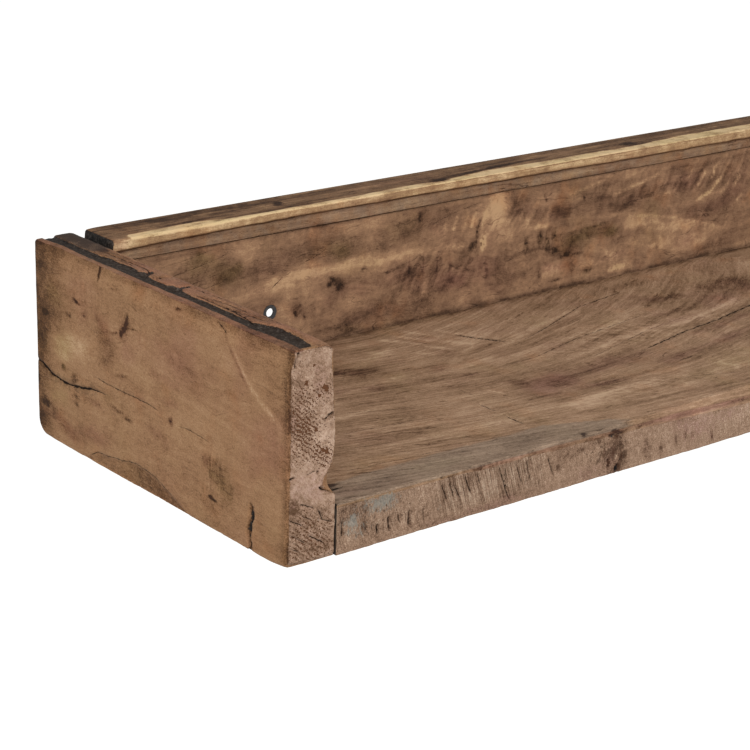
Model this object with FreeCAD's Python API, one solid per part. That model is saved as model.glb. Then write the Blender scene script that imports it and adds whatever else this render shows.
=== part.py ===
import FreeCAD, Part
import os

# Wall shelf: a shallow open tray of thick reclaimed boards that hangs on a wall.
# Millimetres. X runs along the shelf, Y from its front to the wall, Z up.
# The origin is at the bottom, in the middle of the length and of the depth.

# Whole shelf
length = 800.0
depth = 250.0
height = 120.0
overrun = 2.0
seam = 0.001

# End boards, each a plank on its edge across one end
end_thickness = 32.0
lip_width = 6.0
top_fall = 0.5
inner_wear_width = 7.0
inner_wear_height = 5.5
channel_width = 10.0
channel_depth = 2.5
channel_stop = 6.0
back_corner_radius = 5.0
front_corner_radius = 2.5
front_foot_radius = 3.0
back_foot_radius = 9.0

# Bottom board, between the ends and in front of the back board
bottom_thickness = 30.0
bottom_arris_radius = 1.5
end_relief_width = 1.2
end_relief_depth = 10.0
wane_width = 12.0
wane_height = 8.0
wane_run_share = 0.5
# How far along the board, and how much of the full wane is worn away there
wane_shares = [(0.0, 0.15), (0.12, 0.4), (0.34, 0.4), (0.45, 1.0), (0.7, 0.7), (0.86, 0.3), (1.0, 0.2)]

# Back board, up to the joint line below the rail
back_thickness = 30.0
joint_bevel = 0.6

# Rail along the top of the back board, which stands a little above the end boards
rail_height = 14.5
rail_rise = 0.5
rail_foot_height = 8.0
rail_lip_proud = 2.0
rail_lip_step = 1.0
rail_round_radius = 2.5
rail_end_gap = 2.0

# Hanging holes: a washer let into the face, and a routed pocket behind it
hole_inset = 150.0
hole_height = 55.5
washer_diameter = 10.0
washer_bore = 5.6
washer_thickness = 1.2
washer_sink = 0.3
washer_fit = 0.1
washer_seat_bore = 8.0
face_skin = 3.0
pocket_length = 56.0
pocket_height = 36.0
pocket_corner_radius = 12.0

# Dowels between the ends and the two long boards
dowel_diameter = 8.0
dowel_length = 40.0
dowel_fit = 0.1
dowel_end_gap = 0.5
bottom_dowel_shares = [0.16, 0.5, 0.84]
back_dowel_shares = [0.45, 0.8]

# Dowels that hold the rail
rail_dowel_diameter = 6.0
rail_dowel_length = 20.0
rail_dowel_count = 5
rail_dowel_sunk_share = 0.6

# Screws through the back board into the rear edge of the bottom board
screw_length = 60.0
screw_shank_diameter = 4.2
screw_head_diameter = 8.6
screw_head_height = 2.8
screw_point_length = 6.0
screw_head_sink = 1.0
screw_fit = 0.1
screw_count = 5
drive_socket_width = 3.0
drive_socket_depth = 1.6

# Places that follow from the sizes above
joint_height = height + rail_rise - rail_height
front = -depth / 2
wall = depth / 2
back_face = wall - back_thickness
left_outer = -length / 2
left_inner = left_outer + end_thickness
clear_length = length - 2 * end_thickness
bottom_depth = back_face - front
back_middle = wall - back_thickness / 2
hole_x = left_outer + hole_inset
seat_face = back_face + washer_sink + washer_thickness


def box(low, high):
    """A box between two opposite corners."""
    size = high - low
    return Part.makeBox(size.x, size.y, size.z, low)


def prism(points, run):
    """A closed outline moved along the vector run."""
    outline = Part.makePolygon(points + [points[0]])
    return Part.Face(outline).extrude(run)


def rod(radius, start, run):
    """A round rod from start along the vector run."""
    return Part.makeCylinder(radius, run.Length, start, run)


def edges_at(solid, **place):
    """The edges whose middle lies at each of the given coordinates."""
    found = []
    for edge in solid.Edges:
        middle = edge.BoundBox.Center
        if all(abs(getattr(middle, axis) - value) < seam for axis, value in place.items()):
            found.append(edge)
    return found


def mirrored(shape):
    """The same piece at the other end of the shelf."""
    return shape.mirror(FreeCAD.Vector(0, 0, 0), FreeCAD.Vector(1, 0, 0))


def spread(count, span):
    """Evenly spaced places about the middle of a span, half a pitch in from its ends."""
    pitch = span / count
    return [(index + 0.5) * pitch - span / 2 for index in range(count)]


def dowels(places, radius, run):
    """A group of round pins, each starting at its place."""
    return [rod(radius, place, run) for place in places]


def dowel_holes(places, radius, run):
    """The holes for a group of pins, wider and longer by their clearances."""
    gap = FreeCAD.Vector(run).normalize() * dowel_end_gap
    return [rod(radius + dowel_fit, place - gap, run + 2 * gap) for place in places]


def bottom_dowel_places():
    """Where the pins between the left end board and the bottom board start."""
    start = left_inner - dowel_length / 2
    depths = [front + share * bottom_depth for share in bottom_dowel_shares]
    return [FreeCAD.Vector(start, y, bottom_thickness / 2) for y in depths]


def back_dowel_places():
    """Where the pins between the left end board and the back board start."""
    start = left_inner - dowel_length / 2
    return [FreeCAD.Vector(start, back_middle, share * joint_height) for share in back_dowel_shares]


def rail_dowel_places():
    """Where the upright pins between the back board and the rail start."""
    start = joint_height - rail_dowel_sunk_share * rail_dowel_length
    return [FreeCAD.Vector(x, back_middle, start) for x in spread(rail_dowel_count, clear_length)]


def screw_places():
    """Where the heads of the screws from the wall side lie."""
    return [FreeCAD.Vector(x, wall, bottom_thickness / 2) for x in spread(screw_count, clear_length)]


def screw_body(place, clearance):
    """A countersunk screw that points away from the wall, larger all round by a clearance."""
    shank = screw_shank_diameter / 2 + clearance
    head = screw_head_diameter / 2 + clearance
    top = screw_head_sink - clearance
    neck = screw_head_sink + screw_head_height
    shoulder = screw_head_sink + screw_length - screw_point_length
    tip = screw_head_sink + screw_length + clearance
    outline = [(0, top), (head, top), (shank, neck), (shank, shoulder), (0, tip)]
    points = [place + FreeCAD.Vector(radius, -along, 0) for radius, along in outline]
    half_section = Part.Face(Part.makePolygon(points + [points[0]]))
    return half_section.revolve(place, FreeCAD.Vector(0, -1, 0), 360)


def driven_screw(place):
    """A screw with the six-sided socket that a driver turns."""
    radius = drive_socket_width / 2
    corners = []
    for index in range(6):
        around = FreeCAD.Rotation(FreeCAD.Vector(0, 1, 0), 60 * index)
        corners.append(place + around.multVec(FreeCAD.Vector(radius, 0, 0)))
    run = FreeCAD.Vector(0, -screw_head_sink - drive_socket_depth, 0)
    return screw_body(place, 0).cut(prism(corners, run))


def screw_mouth(place):
    """The countersunk mouth above a screw's head, open to the wall side."""
    radius = screw_head_diameter / 2 + screw_fit
    start = place + FreeCAD.Vector(0, overrun, 0)
    return rod(radius, start, FreeCAD.Vector(0, -overrun - screw_head_sink, 0))


def end_board():
    """The left end board: a plank whose top slopes inwards, with a channel along it."""
    inner_top = height - top_fall
    outline = [
        (left_outer, 0),
        (left_inner, 0),
        (left_inner, inner_top - inner_wear_height),
        (left_inner - inner_wear_width, inner_top),
        (left_outer + lip_width, height),
        (left_outer, height),
    ]
    points = [FreeCAD.Vector(x, front, z) for x, z in outline]
    board = prism(points, FreeCAD.Vector(0, depth, 0))
    low = FreeCAD.Vector(left_outer, front, 0)
    high = FreeCAD.Vector(left_inner, wall, height)
    feet = box(low, high)
    feet = feet.makeFillet(front_foot_radius, edges_at(feet, y=front, z=0))
    feet = feet.makeFillet(back_foot_radius, edges_at(feet, y=wall, z=0))
    corners = box(low, high)
    corners = corners.makeFillet(front_corner_radius, edges_at(corners, x=left_outer, y=front))
    corners = corners.makeFillet(back_corner_radius, edges_at(corners, x=left_outer, y=wall))
    board = board.common(feet).common(corners)
    channel_start = left_outer + lip_width
    channel = box(
        FreeCAD.Vector(channel_start, front + channel_stop, height - channel_depth),
        FreeCAD.Vector(channel_start + channel_width, wall + overrun, height + overrun),
    )
    board = board.cut(channel)
    radius = dowel_diameter / 2
    run = FreeCAD.Vector(dowel_length, 0, 0)
    return board.cut(dowel_holes(bottom_dowel_places() + back_dowel_places(), radius, run))


def wane():
    """What is worn away along the front top arris of the bottom board, as one tapering wedge."""
    sections = []
    for place_share, worn_share in wane_shares:
        x = place_share * (clear_length + 2 * overrun) - clear_length / 2 - overrun
        width = worn_share * wane_width
        drop = worn_share * wane_height
        past_y = wane_run_share * width
        past_z = wane_run_share * drop
        low = FreeCAD.Vector(x, front - past_y, bottom_thickness - drop - past_z)
        far = FreeCAD.Vector(x, front + width + past_y, bottom_thickness + past_z)
        corner = FreeCAD.Vector(x, front - past_y, bottom_thickness + past_z)
        sections.append(Part.makePolygon([low, far, corner, low]))
    return Part.makeLoft(sections, True, True)


def end_relief():
    """The worn upright arris at the left end of the bottom board's front, which leaves a dark gap."""
    outline = [
        (left_inner, front + end_relief_depth),
        (left_inner - overrun, front + end_relief_depth),
        (left_inner - overrun, front - overrun),
        (left_inner + end_relief_width, front - overrun),
        (left_inner + end_relief_width, front),
    ]
    points = [FreeCAD.Vector(x, y, -overrun) for x, y in outline]
    return prism(points, FreeCAD.Vector(0, 0, bottom_thickness + 2 * overrun))


def bottom_board():
    """The shelf surface, pinned to the ends and screwed from behind."""
    board = box(
        FreeCAD.Vector(left_inner, front, 0),
        FreeCAD.Vector(-left_inner, back_face, bottom_thickness),
    )
    board = board.makeFillet(bottom_arris_radius, edges_at(board, y=front, z=0))
    holes = dowel_holes(bottom_dowel_places(), dowel_diameter / 2, FreeCAD.Vector(dowel_length, 0, 0))
    cuts = [wane(), end_relief(), mirrored(end_relief())]
    cuts += holes + [mirrored(hole) for hole in holes]
    cuts += [screw_body(place, screw_fit) for place in screw_places()]
    return board.cut(cuts)


def hanging_hole():
    """One hanging hole with its washer seat, and the routed pocket behind the skin."""
    axis = FreeCAD.Vector(0, 1, 0)
    centre = FreeCAD.Vector(hole_x, back_face, hole_height)
    recess_radius = washer_diameter / 2 + washer_fit
    recess = rod(recess_radius, centre - axis * overrun, axis * (overrun + seat_face - back_face))
    seat_bore = rod(washer_seat_bore / 2, centre, axis * (face_skin + overrun))
    half = FreeCAD.Vector(pocket_length / 2, 0, pocket_height / 2)
    pocket = box(
        centre + axis * face_skin - half,
        centre + axis * (back_thickness + overrun) + half,
    )
    upright_sides = [edge for edge in pocket.Edges if edge.BoundBox.YLength > seam]
    pocket = pocket.makeFillet(pocket_corner_radius, upright_sides)
    return recess.fuse([seat_bore, pocket])


def back_board():
    """The plank along the wall, between the ends and up to the joint line."""
    board = box(
        FreeCAD.Vector(left_inner, back_face, 0),
        FreeCAD.Vector(-left_inner, wall, joint_height),
    )
    board = board.makeChamfer(joint_bevel, edges_at(board, y=back_face, z=joint_height))
    holes = dowel_holes(back_dowel_places(), dowel_diameter / 2, FreeCAD.Vector(dowel_length, 0, 0))
    cuts = [hanging_hole(), mirrored(hanging_hole())]
    cuts += holes + [mirrored(hole) for hole in holes]
    rail_run = FreeCAD.Vector(0, 0, rail_dowel_length)
    cuts += dowel_holes(rail_dowel_places(), rail_dowel_diameter / 2, rail_run)
    cuts += [screw_body(place, screw_fit) for place in screw_places()]
    cuts += [screw_mouth(place) for place in screw_places()]
    return board.cut(cuts)


def back_top_rail():
    """The strip on top of the back board, whose lip stands proud of the face."""
    top = joint_height + rail_height
    lip_face = back_face - rail_lip_proud
    lip_foot = joint_height + rail_foot_height
    outline = [
        (wall, joint_height),
        (wall, top),
        (lip_face, top),
        (lip_face, lip_foot),
        (back_face, lip_foot - rail_lip_step),
        (back_face, joint_height + joint_bevel),
        (back_face + joint_bevel, joint_height),
    ]
    start = left_inner + rail_end_gap
    points = [FreeCAD.Vector(start, y, z) for y, z in outline]
    rail = prism(points, FreeCAD.Vector(-2 * start, 0, 0))
    rail = rail.makeFillet(rail_round_radius, edges_at(rail, y=lip_face, z=top))
    run = FreeCAD.Vector(0, 0, rail_dowel_length)
    return rail.cut(dowel_holes(rail_dowel_places(), rail_dowel_diameter / 2, run))


def hole_washer():
    """The dark ring in the left hanging hole."""
    start = FreeCAD.Vector(hole_x, back_face + washer_sink, hole_height)
    run = FreeCAD.Vector(0, washer_thickness, 0)
    disc = rod(washer_diameter / 2, start, run)
    return disc.cut(rod(washer_bore / 2, start, run))


def build():
    """Every sub-part by the name of its node."""
    across = FreeCAD.Vector(dowel_length, 0, 0)
    upright = FreeCAD.Vector(0, 0, rail_dowel_length)
    bottom_dowels = Part.makeCompound(dowels(bottom_dowel_places(), dowel_diameter / 2, across))
    back_dowels = Part.makeCompound(dowels(back_dowel_places(), dowel_diameter / 2, across))
    rail_dowels = Part.makeCompound(dowels(rail_dowel_places(), rail_dowel_diameter / 2, upright))
    screws = Part.makeCompound([driven_screw(place) for place in screw_places()])
    left_end = end_board()
    left_washer = hole_washer()
    return {
        "left_end_board": left_end,
        "right_end_board": mirrored(left_end),
        "bottom_board": bottom_board(),
        "back_board": back_board(),
        "back_top_rail": back_top_rail(),
        "left_bottom_dowels": bottom_dowels,
        "right_bottom_dowels": mirrored(bottom_dowels),
        "left_back_dowels": back_dowels,
        "right_back_dowels": mirrored(back_dowels),
        "rail_dowels": rail_dowels,
        "back_screws": screws,
        "left_hole_washer": left_washer,
        "right_hole_washer": mirrored(left_washer),
    }


os.makedirs("parts", exist_ok=True)
for node, shape in build().items():
    shape.exportStep("parts/" + node + ".step")
    print(node, len(shape.Solids), "solids, volume", round(shape.Volume), "valid", shape.isValid())
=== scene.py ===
import math
from functools import partial

import bmesh
import bpy
import numpy as np
from mathutils import Matrix, Vector


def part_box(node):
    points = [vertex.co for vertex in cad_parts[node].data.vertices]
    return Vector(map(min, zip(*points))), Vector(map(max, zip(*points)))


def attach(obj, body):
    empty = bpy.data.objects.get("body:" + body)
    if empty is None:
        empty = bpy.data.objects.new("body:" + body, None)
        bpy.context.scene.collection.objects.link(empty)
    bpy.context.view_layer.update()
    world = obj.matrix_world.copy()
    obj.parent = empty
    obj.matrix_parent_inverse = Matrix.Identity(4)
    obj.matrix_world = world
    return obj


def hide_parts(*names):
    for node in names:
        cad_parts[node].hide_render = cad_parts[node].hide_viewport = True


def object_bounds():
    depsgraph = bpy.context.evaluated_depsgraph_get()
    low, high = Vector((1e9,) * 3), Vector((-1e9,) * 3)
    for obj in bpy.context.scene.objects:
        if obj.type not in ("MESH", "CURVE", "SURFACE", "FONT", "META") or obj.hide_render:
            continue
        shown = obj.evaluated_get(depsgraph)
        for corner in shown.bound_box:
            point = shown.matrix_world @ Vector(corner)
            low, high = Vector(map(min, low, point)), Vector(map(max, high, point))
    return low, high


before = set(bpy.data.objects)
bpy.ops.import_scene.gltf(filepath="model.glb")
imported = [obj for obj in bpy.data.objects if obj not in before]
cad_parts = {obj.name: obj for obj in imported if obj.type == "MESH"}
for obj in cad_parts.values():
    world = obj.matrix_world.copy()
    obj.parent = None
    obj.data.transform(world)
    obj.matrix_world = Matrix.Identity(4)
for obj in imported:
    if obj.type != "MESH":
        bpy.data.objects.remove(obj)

# Some of these marks are painted shade, in gaps, joints, inner corners and deep holes.
# A wall shelf of reclaimed boards. Each board is a dense mesh whose wear, cracks and chips are real
# relief, under one procedural wood that reads the marks stored on the mesh.
# Places on the shelf are in millimetres from the outer bottom front corner of the left end:
# x along the shelf, y towards the wall, z up. Grain and marks that the photograph shows lie where
# it has them.

MM = 0.001
CAD_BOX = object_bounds()
CORNER = np.array(CAD_BOX[0])


def box_of(node):
    """The lowest and highest corner of a CAD node's box, in millimetres on the shelf."""
    return [np.round((np.array(corner) - CORNER) / MM, 3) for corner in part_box(node)]


# The boards' own sizes and places
END_THICKNESS, DEPTH, HEIGHT = box_of("left_end_board")[1]
LENGTH = box_of("right_end_board")[1][0]
BOTTOM_THICKNESS = box_of("bottom_board")[1][2]
BACK_FACE = box_of("back_board")[0][1]
RAIL_START, LIP_FACE, JOINT_HEIGHT = box_of("back_top_rail")[0]
RAIL_TOP = box_of("back_top_rail")[1][2]


def at(place):
    """A place on the shelf, as the scene's own place in metres."""
    return Vector(place) * MM + Vector(CORNER)


def link(name, data):
    """A new object in the scene."""
    made = bpy.data.objects.new(name, data)
    bpy.context.collection.objects.link(made)
    return made


def link_shape(name, shape):
    """A new object in the scene, made from a bmesh, which is freed."""
    mesh = bpy.data.meshes.new(name)
    shape.to_mesh(mesh)
    shape.free()
    return link(name, mesh)


def colour(*shade):
    """A colour read on a screen, from 0 to 255, as the linear colour that a shader takes."""
    linear = [((c / 255 + 0.055) / 1.055) ** 2.4 if c > 10 else c / 255 / 12.92 for c in shade]
    return (*linear, 1.0)


def ease(low, high, value):
    """A smooth step from 0 below low to 1 above high."""
    share = np.clip((value - low) / (high - low), 0, 1)
    return share * share * (3 - 2 * share)


# Noise in space, the same on every run


def lattice(cell, seed):
    """A fixed scattered number from 0 to 1 for each corner of a whole-number lattice."""
    mixed = (cell[:, 0] * 73856093) ^ (cell[:, 1] * 19349663) ^ (cell[:, 2] * 83492791) ^ (seed * 2654435761)
    mixed = ((mixed & 0xFFFFFFFF) ^ ((mixed >> 13) & 0x7FFFF)) * 1540483477 & 0xFFFFFFFF
    return ((mixed ^ (mixed >> 15)) & 0xFFFF) / 65535


def noise(place, size, seed):
    """Smooth noise from -1 to 1 at each place, with bumps of the given size, one number or three."""
    scaled = place / np.asarray(size)
    cell = np.floor(scaled).astype(np.int64)
    part = scaled - cell
    part = part * part * (3 - 2 * part)
    total = np.zeros(len(place))
    for corner in np.ndindex(2, 2, 2):
        weight = np.prod(np.where(corner, part, 1 - part), axis=1)
        total += weight * lattice(cell + corner, seed)
    return 2 * total - 1


def rough_noise(place, size, seed, layers=3):
    """Noise with finer and weaker layers added."""
    size = np.asarray(size, dtype=float)
    total = sum(noise(place, size / 2**k, seed + k) / 2**k for k in range(layers))
    return total / (2 - 2.0 ** (1 - layers))


# Meshes of boards


def spaced(*stretches):
    """Grid places along an axis, from stretches given as start, end and step."""
    places = [np.linspace(a, b, max(1, round((b - a) / step)), endpoint=False) for a, b, step in stretches]
    return np.concatenate(places + [[stretches[-1][1]]])


def edged(low, high, rim, fine, coarse):
    """Grid places along an axis that are fine along a rim at both ends and coarse between."""
    return spaced((low, low + rim, fine), (low + rim, high - rim, coarse), (high - rim, high, fine))


def box_grid(grid):
    """The grid points on the surface of a box, numbered, from its places along each axis."""
    shape = [len(places) for places in grid]
    ids = np.full(shape, -1)
    index = np.indices(shape)
    on_surface = np.zeros(shape, dtype=bool)
    for axis, count in enumerate(shape):
        on_surface |= (index[axis] == 0) | (index[axis] == count - 1)
    ids[on_surface] = np.arange(on_surface.sum())
    points = np.stack([places[index[axis][on_surface]] for axis, places in enumerate(grid)], axis=1)
    return ids, points


def block_ring(plane, i0, i1, j0, j1):
    """The corners of one block of a side, with every grid point along the side's own rim."""
    last_i, last_j = plane.shape[0] - 1, plane.shape[1] - 1
    low = plane[i0:i1, j0] if j0 == 0 else plane[i0:i0 + 1, j0]
    right = plane[i1, j0:j1] if i1 == last_i else plane[i1, j0:j0 + 1]
    high = plane[i1:i0:-1, j1] if j1 == last_j else plane[i1:i1 + 1, j1]
    left = plane[i0, j1:j0:-1] if i0 == 0 else plane[i0, j1:j1 + 1]
    return np.concatenate([low, right, high, left]).tolist()


def side_faces(plane, block):
    """Faces of one side, fine with a block of 1, or in coarse blocks that meet the fine rim."""
    if block == 1:
        corners = [plane[:-1, :-1], plane[1:, :-1], plane[1:, 1:], plane[:-1, 1:]]
        return np.stack(corners, axis=-1).reshape(-1, 4).tolist()
    cuts_i, cuts_j = (list(range(0, count - 1, block)) + [count - 1] for count in plane.shape)
    blocks_j = list(zip(cuts_j, cuts_j[1:]))
    return [block_ring(plane, i0, i1, j0, j1) for i0, i1 in zip(cuts_i, cuts_i[1:]) for j0, j1 in blocks_j]


def box_faces(ids, blocks):
    """Faces of the whole box, all facing out; blocks gives a coarseness for some (axis, side)."""
    faces = []
    for axis in range(3):
        for side in (0, 1):
            plane = np.take(ids, -side, axis=axis)
            if axis == 1:
                plane = plane.T
            made = side_faces(plane, blocks.get((axis, side), 1))
            faces += made if side else [face[::-1] for face in made]
    return faces


def rounded(points, low, high, radius):
    """Points of a box moved to the same box with rounded arrises, and the outward directions there."""
    radius = radius[:, None]
    inner = np.clip(points, low + radius, high - radius)
    out = points - inner
    normal = out / np.linalg.norm(out, axis=1, keepdims=True)
    return inner + normal * radius, normal


def make_board(name, node, grid, blocks, arris, finish, material, mirrored=False):
    """A worn board in the place of a CAD node, with its marks as attributes."""
    low, high = box_of(node)
    if mirrored:
        low[0], high[0] = LENGTH - high[0], LENGTH - low[0]
    ids, points = box_grid(grid)
    place, normal = rounded(points, low, high, arris(points))
    place, marks = finish(place, normal)
    place = np.clip(place, low, high)
    faces = box_faces(ids, blocks)
    if mirrored:
        place[:, 0] = LENGTH - place[:, 0]
        faces = [face[::-1] for face in faces]
    used = np.unique(np.concatenate(faces))
    renumber = np.zeros(len(place), dtype=int)
    renumber[used] = np.arange(len(used))
    mesh = bpy.data.meshes.new(name)
    mesh.from_pydata((place[used] * MM + CORNER).tolist(), [], [renumber[face].tolist() for face in faces])
    for mark, values in marks.items():
        kind, field = ("FLOAT_VECTOR", "vector") if values.ndim == 2 else ("FLOAT", "value")
        layer = mesh.attributes.new(mark, kind, "POINT")
        layer.data.foreach_set(field, values[used].astype("f4").ravel())
    mesh.shade_smooth()
    mesh.materials.append(material)
    board = link(name, mesh)
    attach(board, "root")
    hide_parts(node)
    return board


# Wear and marks on the sides of a board

BROAD_SPOT = 5
FACING = (0.35, 0.8)


def facing(normal, axis, sign):
    """How far points belong to one side of a board, from 0 past its arris to 1 on its flat."""
    return ease(*FACING, sign * normal[:, axis])


class Side:
    """One face of a board: its two coordinates in millimetres, and a weight that fades at its arrises."""

    def __init__(self, place, normal, axis, sign, seed):
        self.a, self.b = (place[:, k] for k in range(3) if k != axis)
        self.weight = facing(normal, axis, sign)
        self.ragged_a = 1.6 * noise(place, 7, seed + 31) + 0.9 * noise(place, 2.4, seed + 32)
        self.ragged_b = 1.6 * noise(place, 7, seed + 33) + 0.9 * noise(place, 2.4, seed + 34)

    def spots(self, rows):
        """Sums of ragged spots: centre, half sizes, turn in degrees, then one or more amounts."""
        total = np.zeros((len(rows[0]) - 5, len(self.a)))
        for a, b, half_a, half_b, turn, *amounts in rows:
            cosine, sine = math.cos(math.radians(turn)), math.sin(math.radians(turn))
            loose = min(1.6, min(half_a, half_b) / 3.5)
            from_a = self.a - a + loose * self.ragged_a
            from_b = self.b - b + loose * self.ragged_b
            u = from_a * cosine + from_b * sine
            v = from_b * cosine - from_a * sine
            share = np.exp(-(((u / half_a) ** 2 + (v / half_b) ** 2) ** 1.3))
            total += np.outer(amounts, share * self.weight)
        return total if len(total) > 1 else total[0]

    def stains(self, rows):
        """The tone of small crisp spots, the tone of broad soft ones, and the hue of both."""
        nothing = [(0, 0, 1, 1, 0, 0, 0)]
        broad = [row for row in rows if min(row[2:4]) >= BROAD_SPOT] or nothing
        small = [row for row in rows if min(row[2:4]) < BROAD_SPOT] or nothing
        (tone, hue), (shade, wide_hue) = self.spots(small), self.spots(broad)
        return tone, shade, hue + wide_hue

    def lines(self, rows):
        """Signed distance to the nearest of several drawn lines, and how strong that line is here."""
        nearest = np.full(len(self.a), 99.0)
        strength = np.zeros(len(self.a))
        for amount, points in rows:
            lengths = [math.dist(p, q) for p, q in zip(points, points[1:])]
            run = 0
            for p, q, size in zip(points, points[1:], lengths):
                along_a, along_b = (q[0] - p[0]) / size, (q[1] - p[1]) / size
                u = (self.a - p[0]) * along_a + (self.b - p[1]) * along_b
                v = (self.b - p[1]) * along_a - (self.a - p[0]) * along_b
                held = np.clip(u, 0, size)
                distance = np.hypot(u - held, v)
                closer = distance < np.abs(nearest)
                nearest = np.where(closer, np.copysign(distance, v), nearest)
                share = (run + held) / sum(lengths)
                taper = ease(-0.02, 0.2, share) * ease(-0.02, 0.25, 1 - share)
                strength = np.where(closer, amount * taper, strength)
                run += size
        return np.clip(nearest, -9, 9), strength * self.weight * (np.abs(nearest) < 8)

    def inside(self, outline, soft):
        """How far points lie inside an outline, from 0 outside to 1 well inside."""
        closed = outline + outline[:1]
        distance = np.abs(self.lines([(1, closed)])[0])
        inside = np.zeros(len(self.a), dtype=bool)
        for (a0, b0), (a1, b1) in zip(closed, closed[1:]):
            crosses = (b0 > self.b) != (b1 > self.b)
            reach = a0 + (self.b - b0) * (a1 - a0) / np.where(crosses, b1 - b0, 1)
            inside ^= crosses & (self.a < reach)
        return np.where(inside, np.clip(distance / soft, 0, 1), 0) * self.weight


def groove(line, width, depth):
    """The relief of drawn lines, as a depth below the surface."""
    distance, strength = line
    return depth * strength * np.exp(-((distance / width) ** 2))


def strongest(*lines):
    """Several sides' drawn lines as one: at each point the one that counts there."""
    distance, strength = lines[0]
    for other_distance, other_strength in lines[1:]:
        better = other_strength > strength
        distance = np.where(better, other_distance, distance)
        strength = np.where(better, other_strength, strength)
    return {"crack": distance, "crack_on": strength}


def near_edge(a, b, reach):
    """How close points are to a straight arris, from 1 on it to 0 well away."""
    return np.exp(-(a**2 + b**2) / reach**2)


def base_relief(place, seed):
    """The gentle hollows and fine unevenness that every worn board has, as a depth."""
    return 0.3 * (1 + rough_noise(place, 60, seed)) + 0.08 * (1 + rough_noise(place, 7, seed + 9))


def flowing(place, seed, sizes, reach):
    """How far the grain wanders from straight, as an offset along each axis."""
    return np.stack([reach[k] * rough_noise(place, sizes, seed + k) for k in range(3)], axis=1)


# Shader nodes


class Number:
    """A number in a node tree, for writing plain sums."""

    def __init__(self, nodes, socket):
        self.nodes = nodes
        self.socket = socket

    def __add__(self, other):
        return self.nodes.math("ADD", self, other)

    def __sub__(self, other):
        return self.nodes.math("SUBTRACT", self, other)

    def __mul__(self, other):
        return self.nodes.math("MULTIPLY", self, other)

    def __abs__(self):
        return self.nodes.math("ABSOLUTE", self)

    __radd__ = __add__


class Nodes:
    """A node tree, built step by step."""

    def __init__(self, tree):
        self.tree = tree
        self.tree.nodes.clear()

    def put(self, kind, inputs, **settings):
        """A new node with its settings, and its inputs linked or set."""
        made = self.tree.nodes.new(kind)
        for key, value in settings.items():
            setattr(made, key, value)
        for key, value in inputs.items():
            self.feed(made.inputs[key], value)
        return made

    def feed(self, socket, value):
        """Links a socket, or sets its value."""
        if isinstance(value, Number):
            value = value.socket
        if isinstance(value, bpy.types.NodeSocket):
            self.tree.links.new(value, socket)
        else:
            socket.default_value = value

    def math(self, operation, a, b=0):
        """One sum on two numbers."""
        return Number(self, self.put("ShaderNodeMath", {0: a, 1: b}, operation=operation).outputs[0])

    def vector_math(self, operation, a, b):
        """One sum on two vectors."""
        return self.put("ShaderNodeVectorMath", {0: a, 1: b}, operation=operation).outputs[0]


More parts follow.
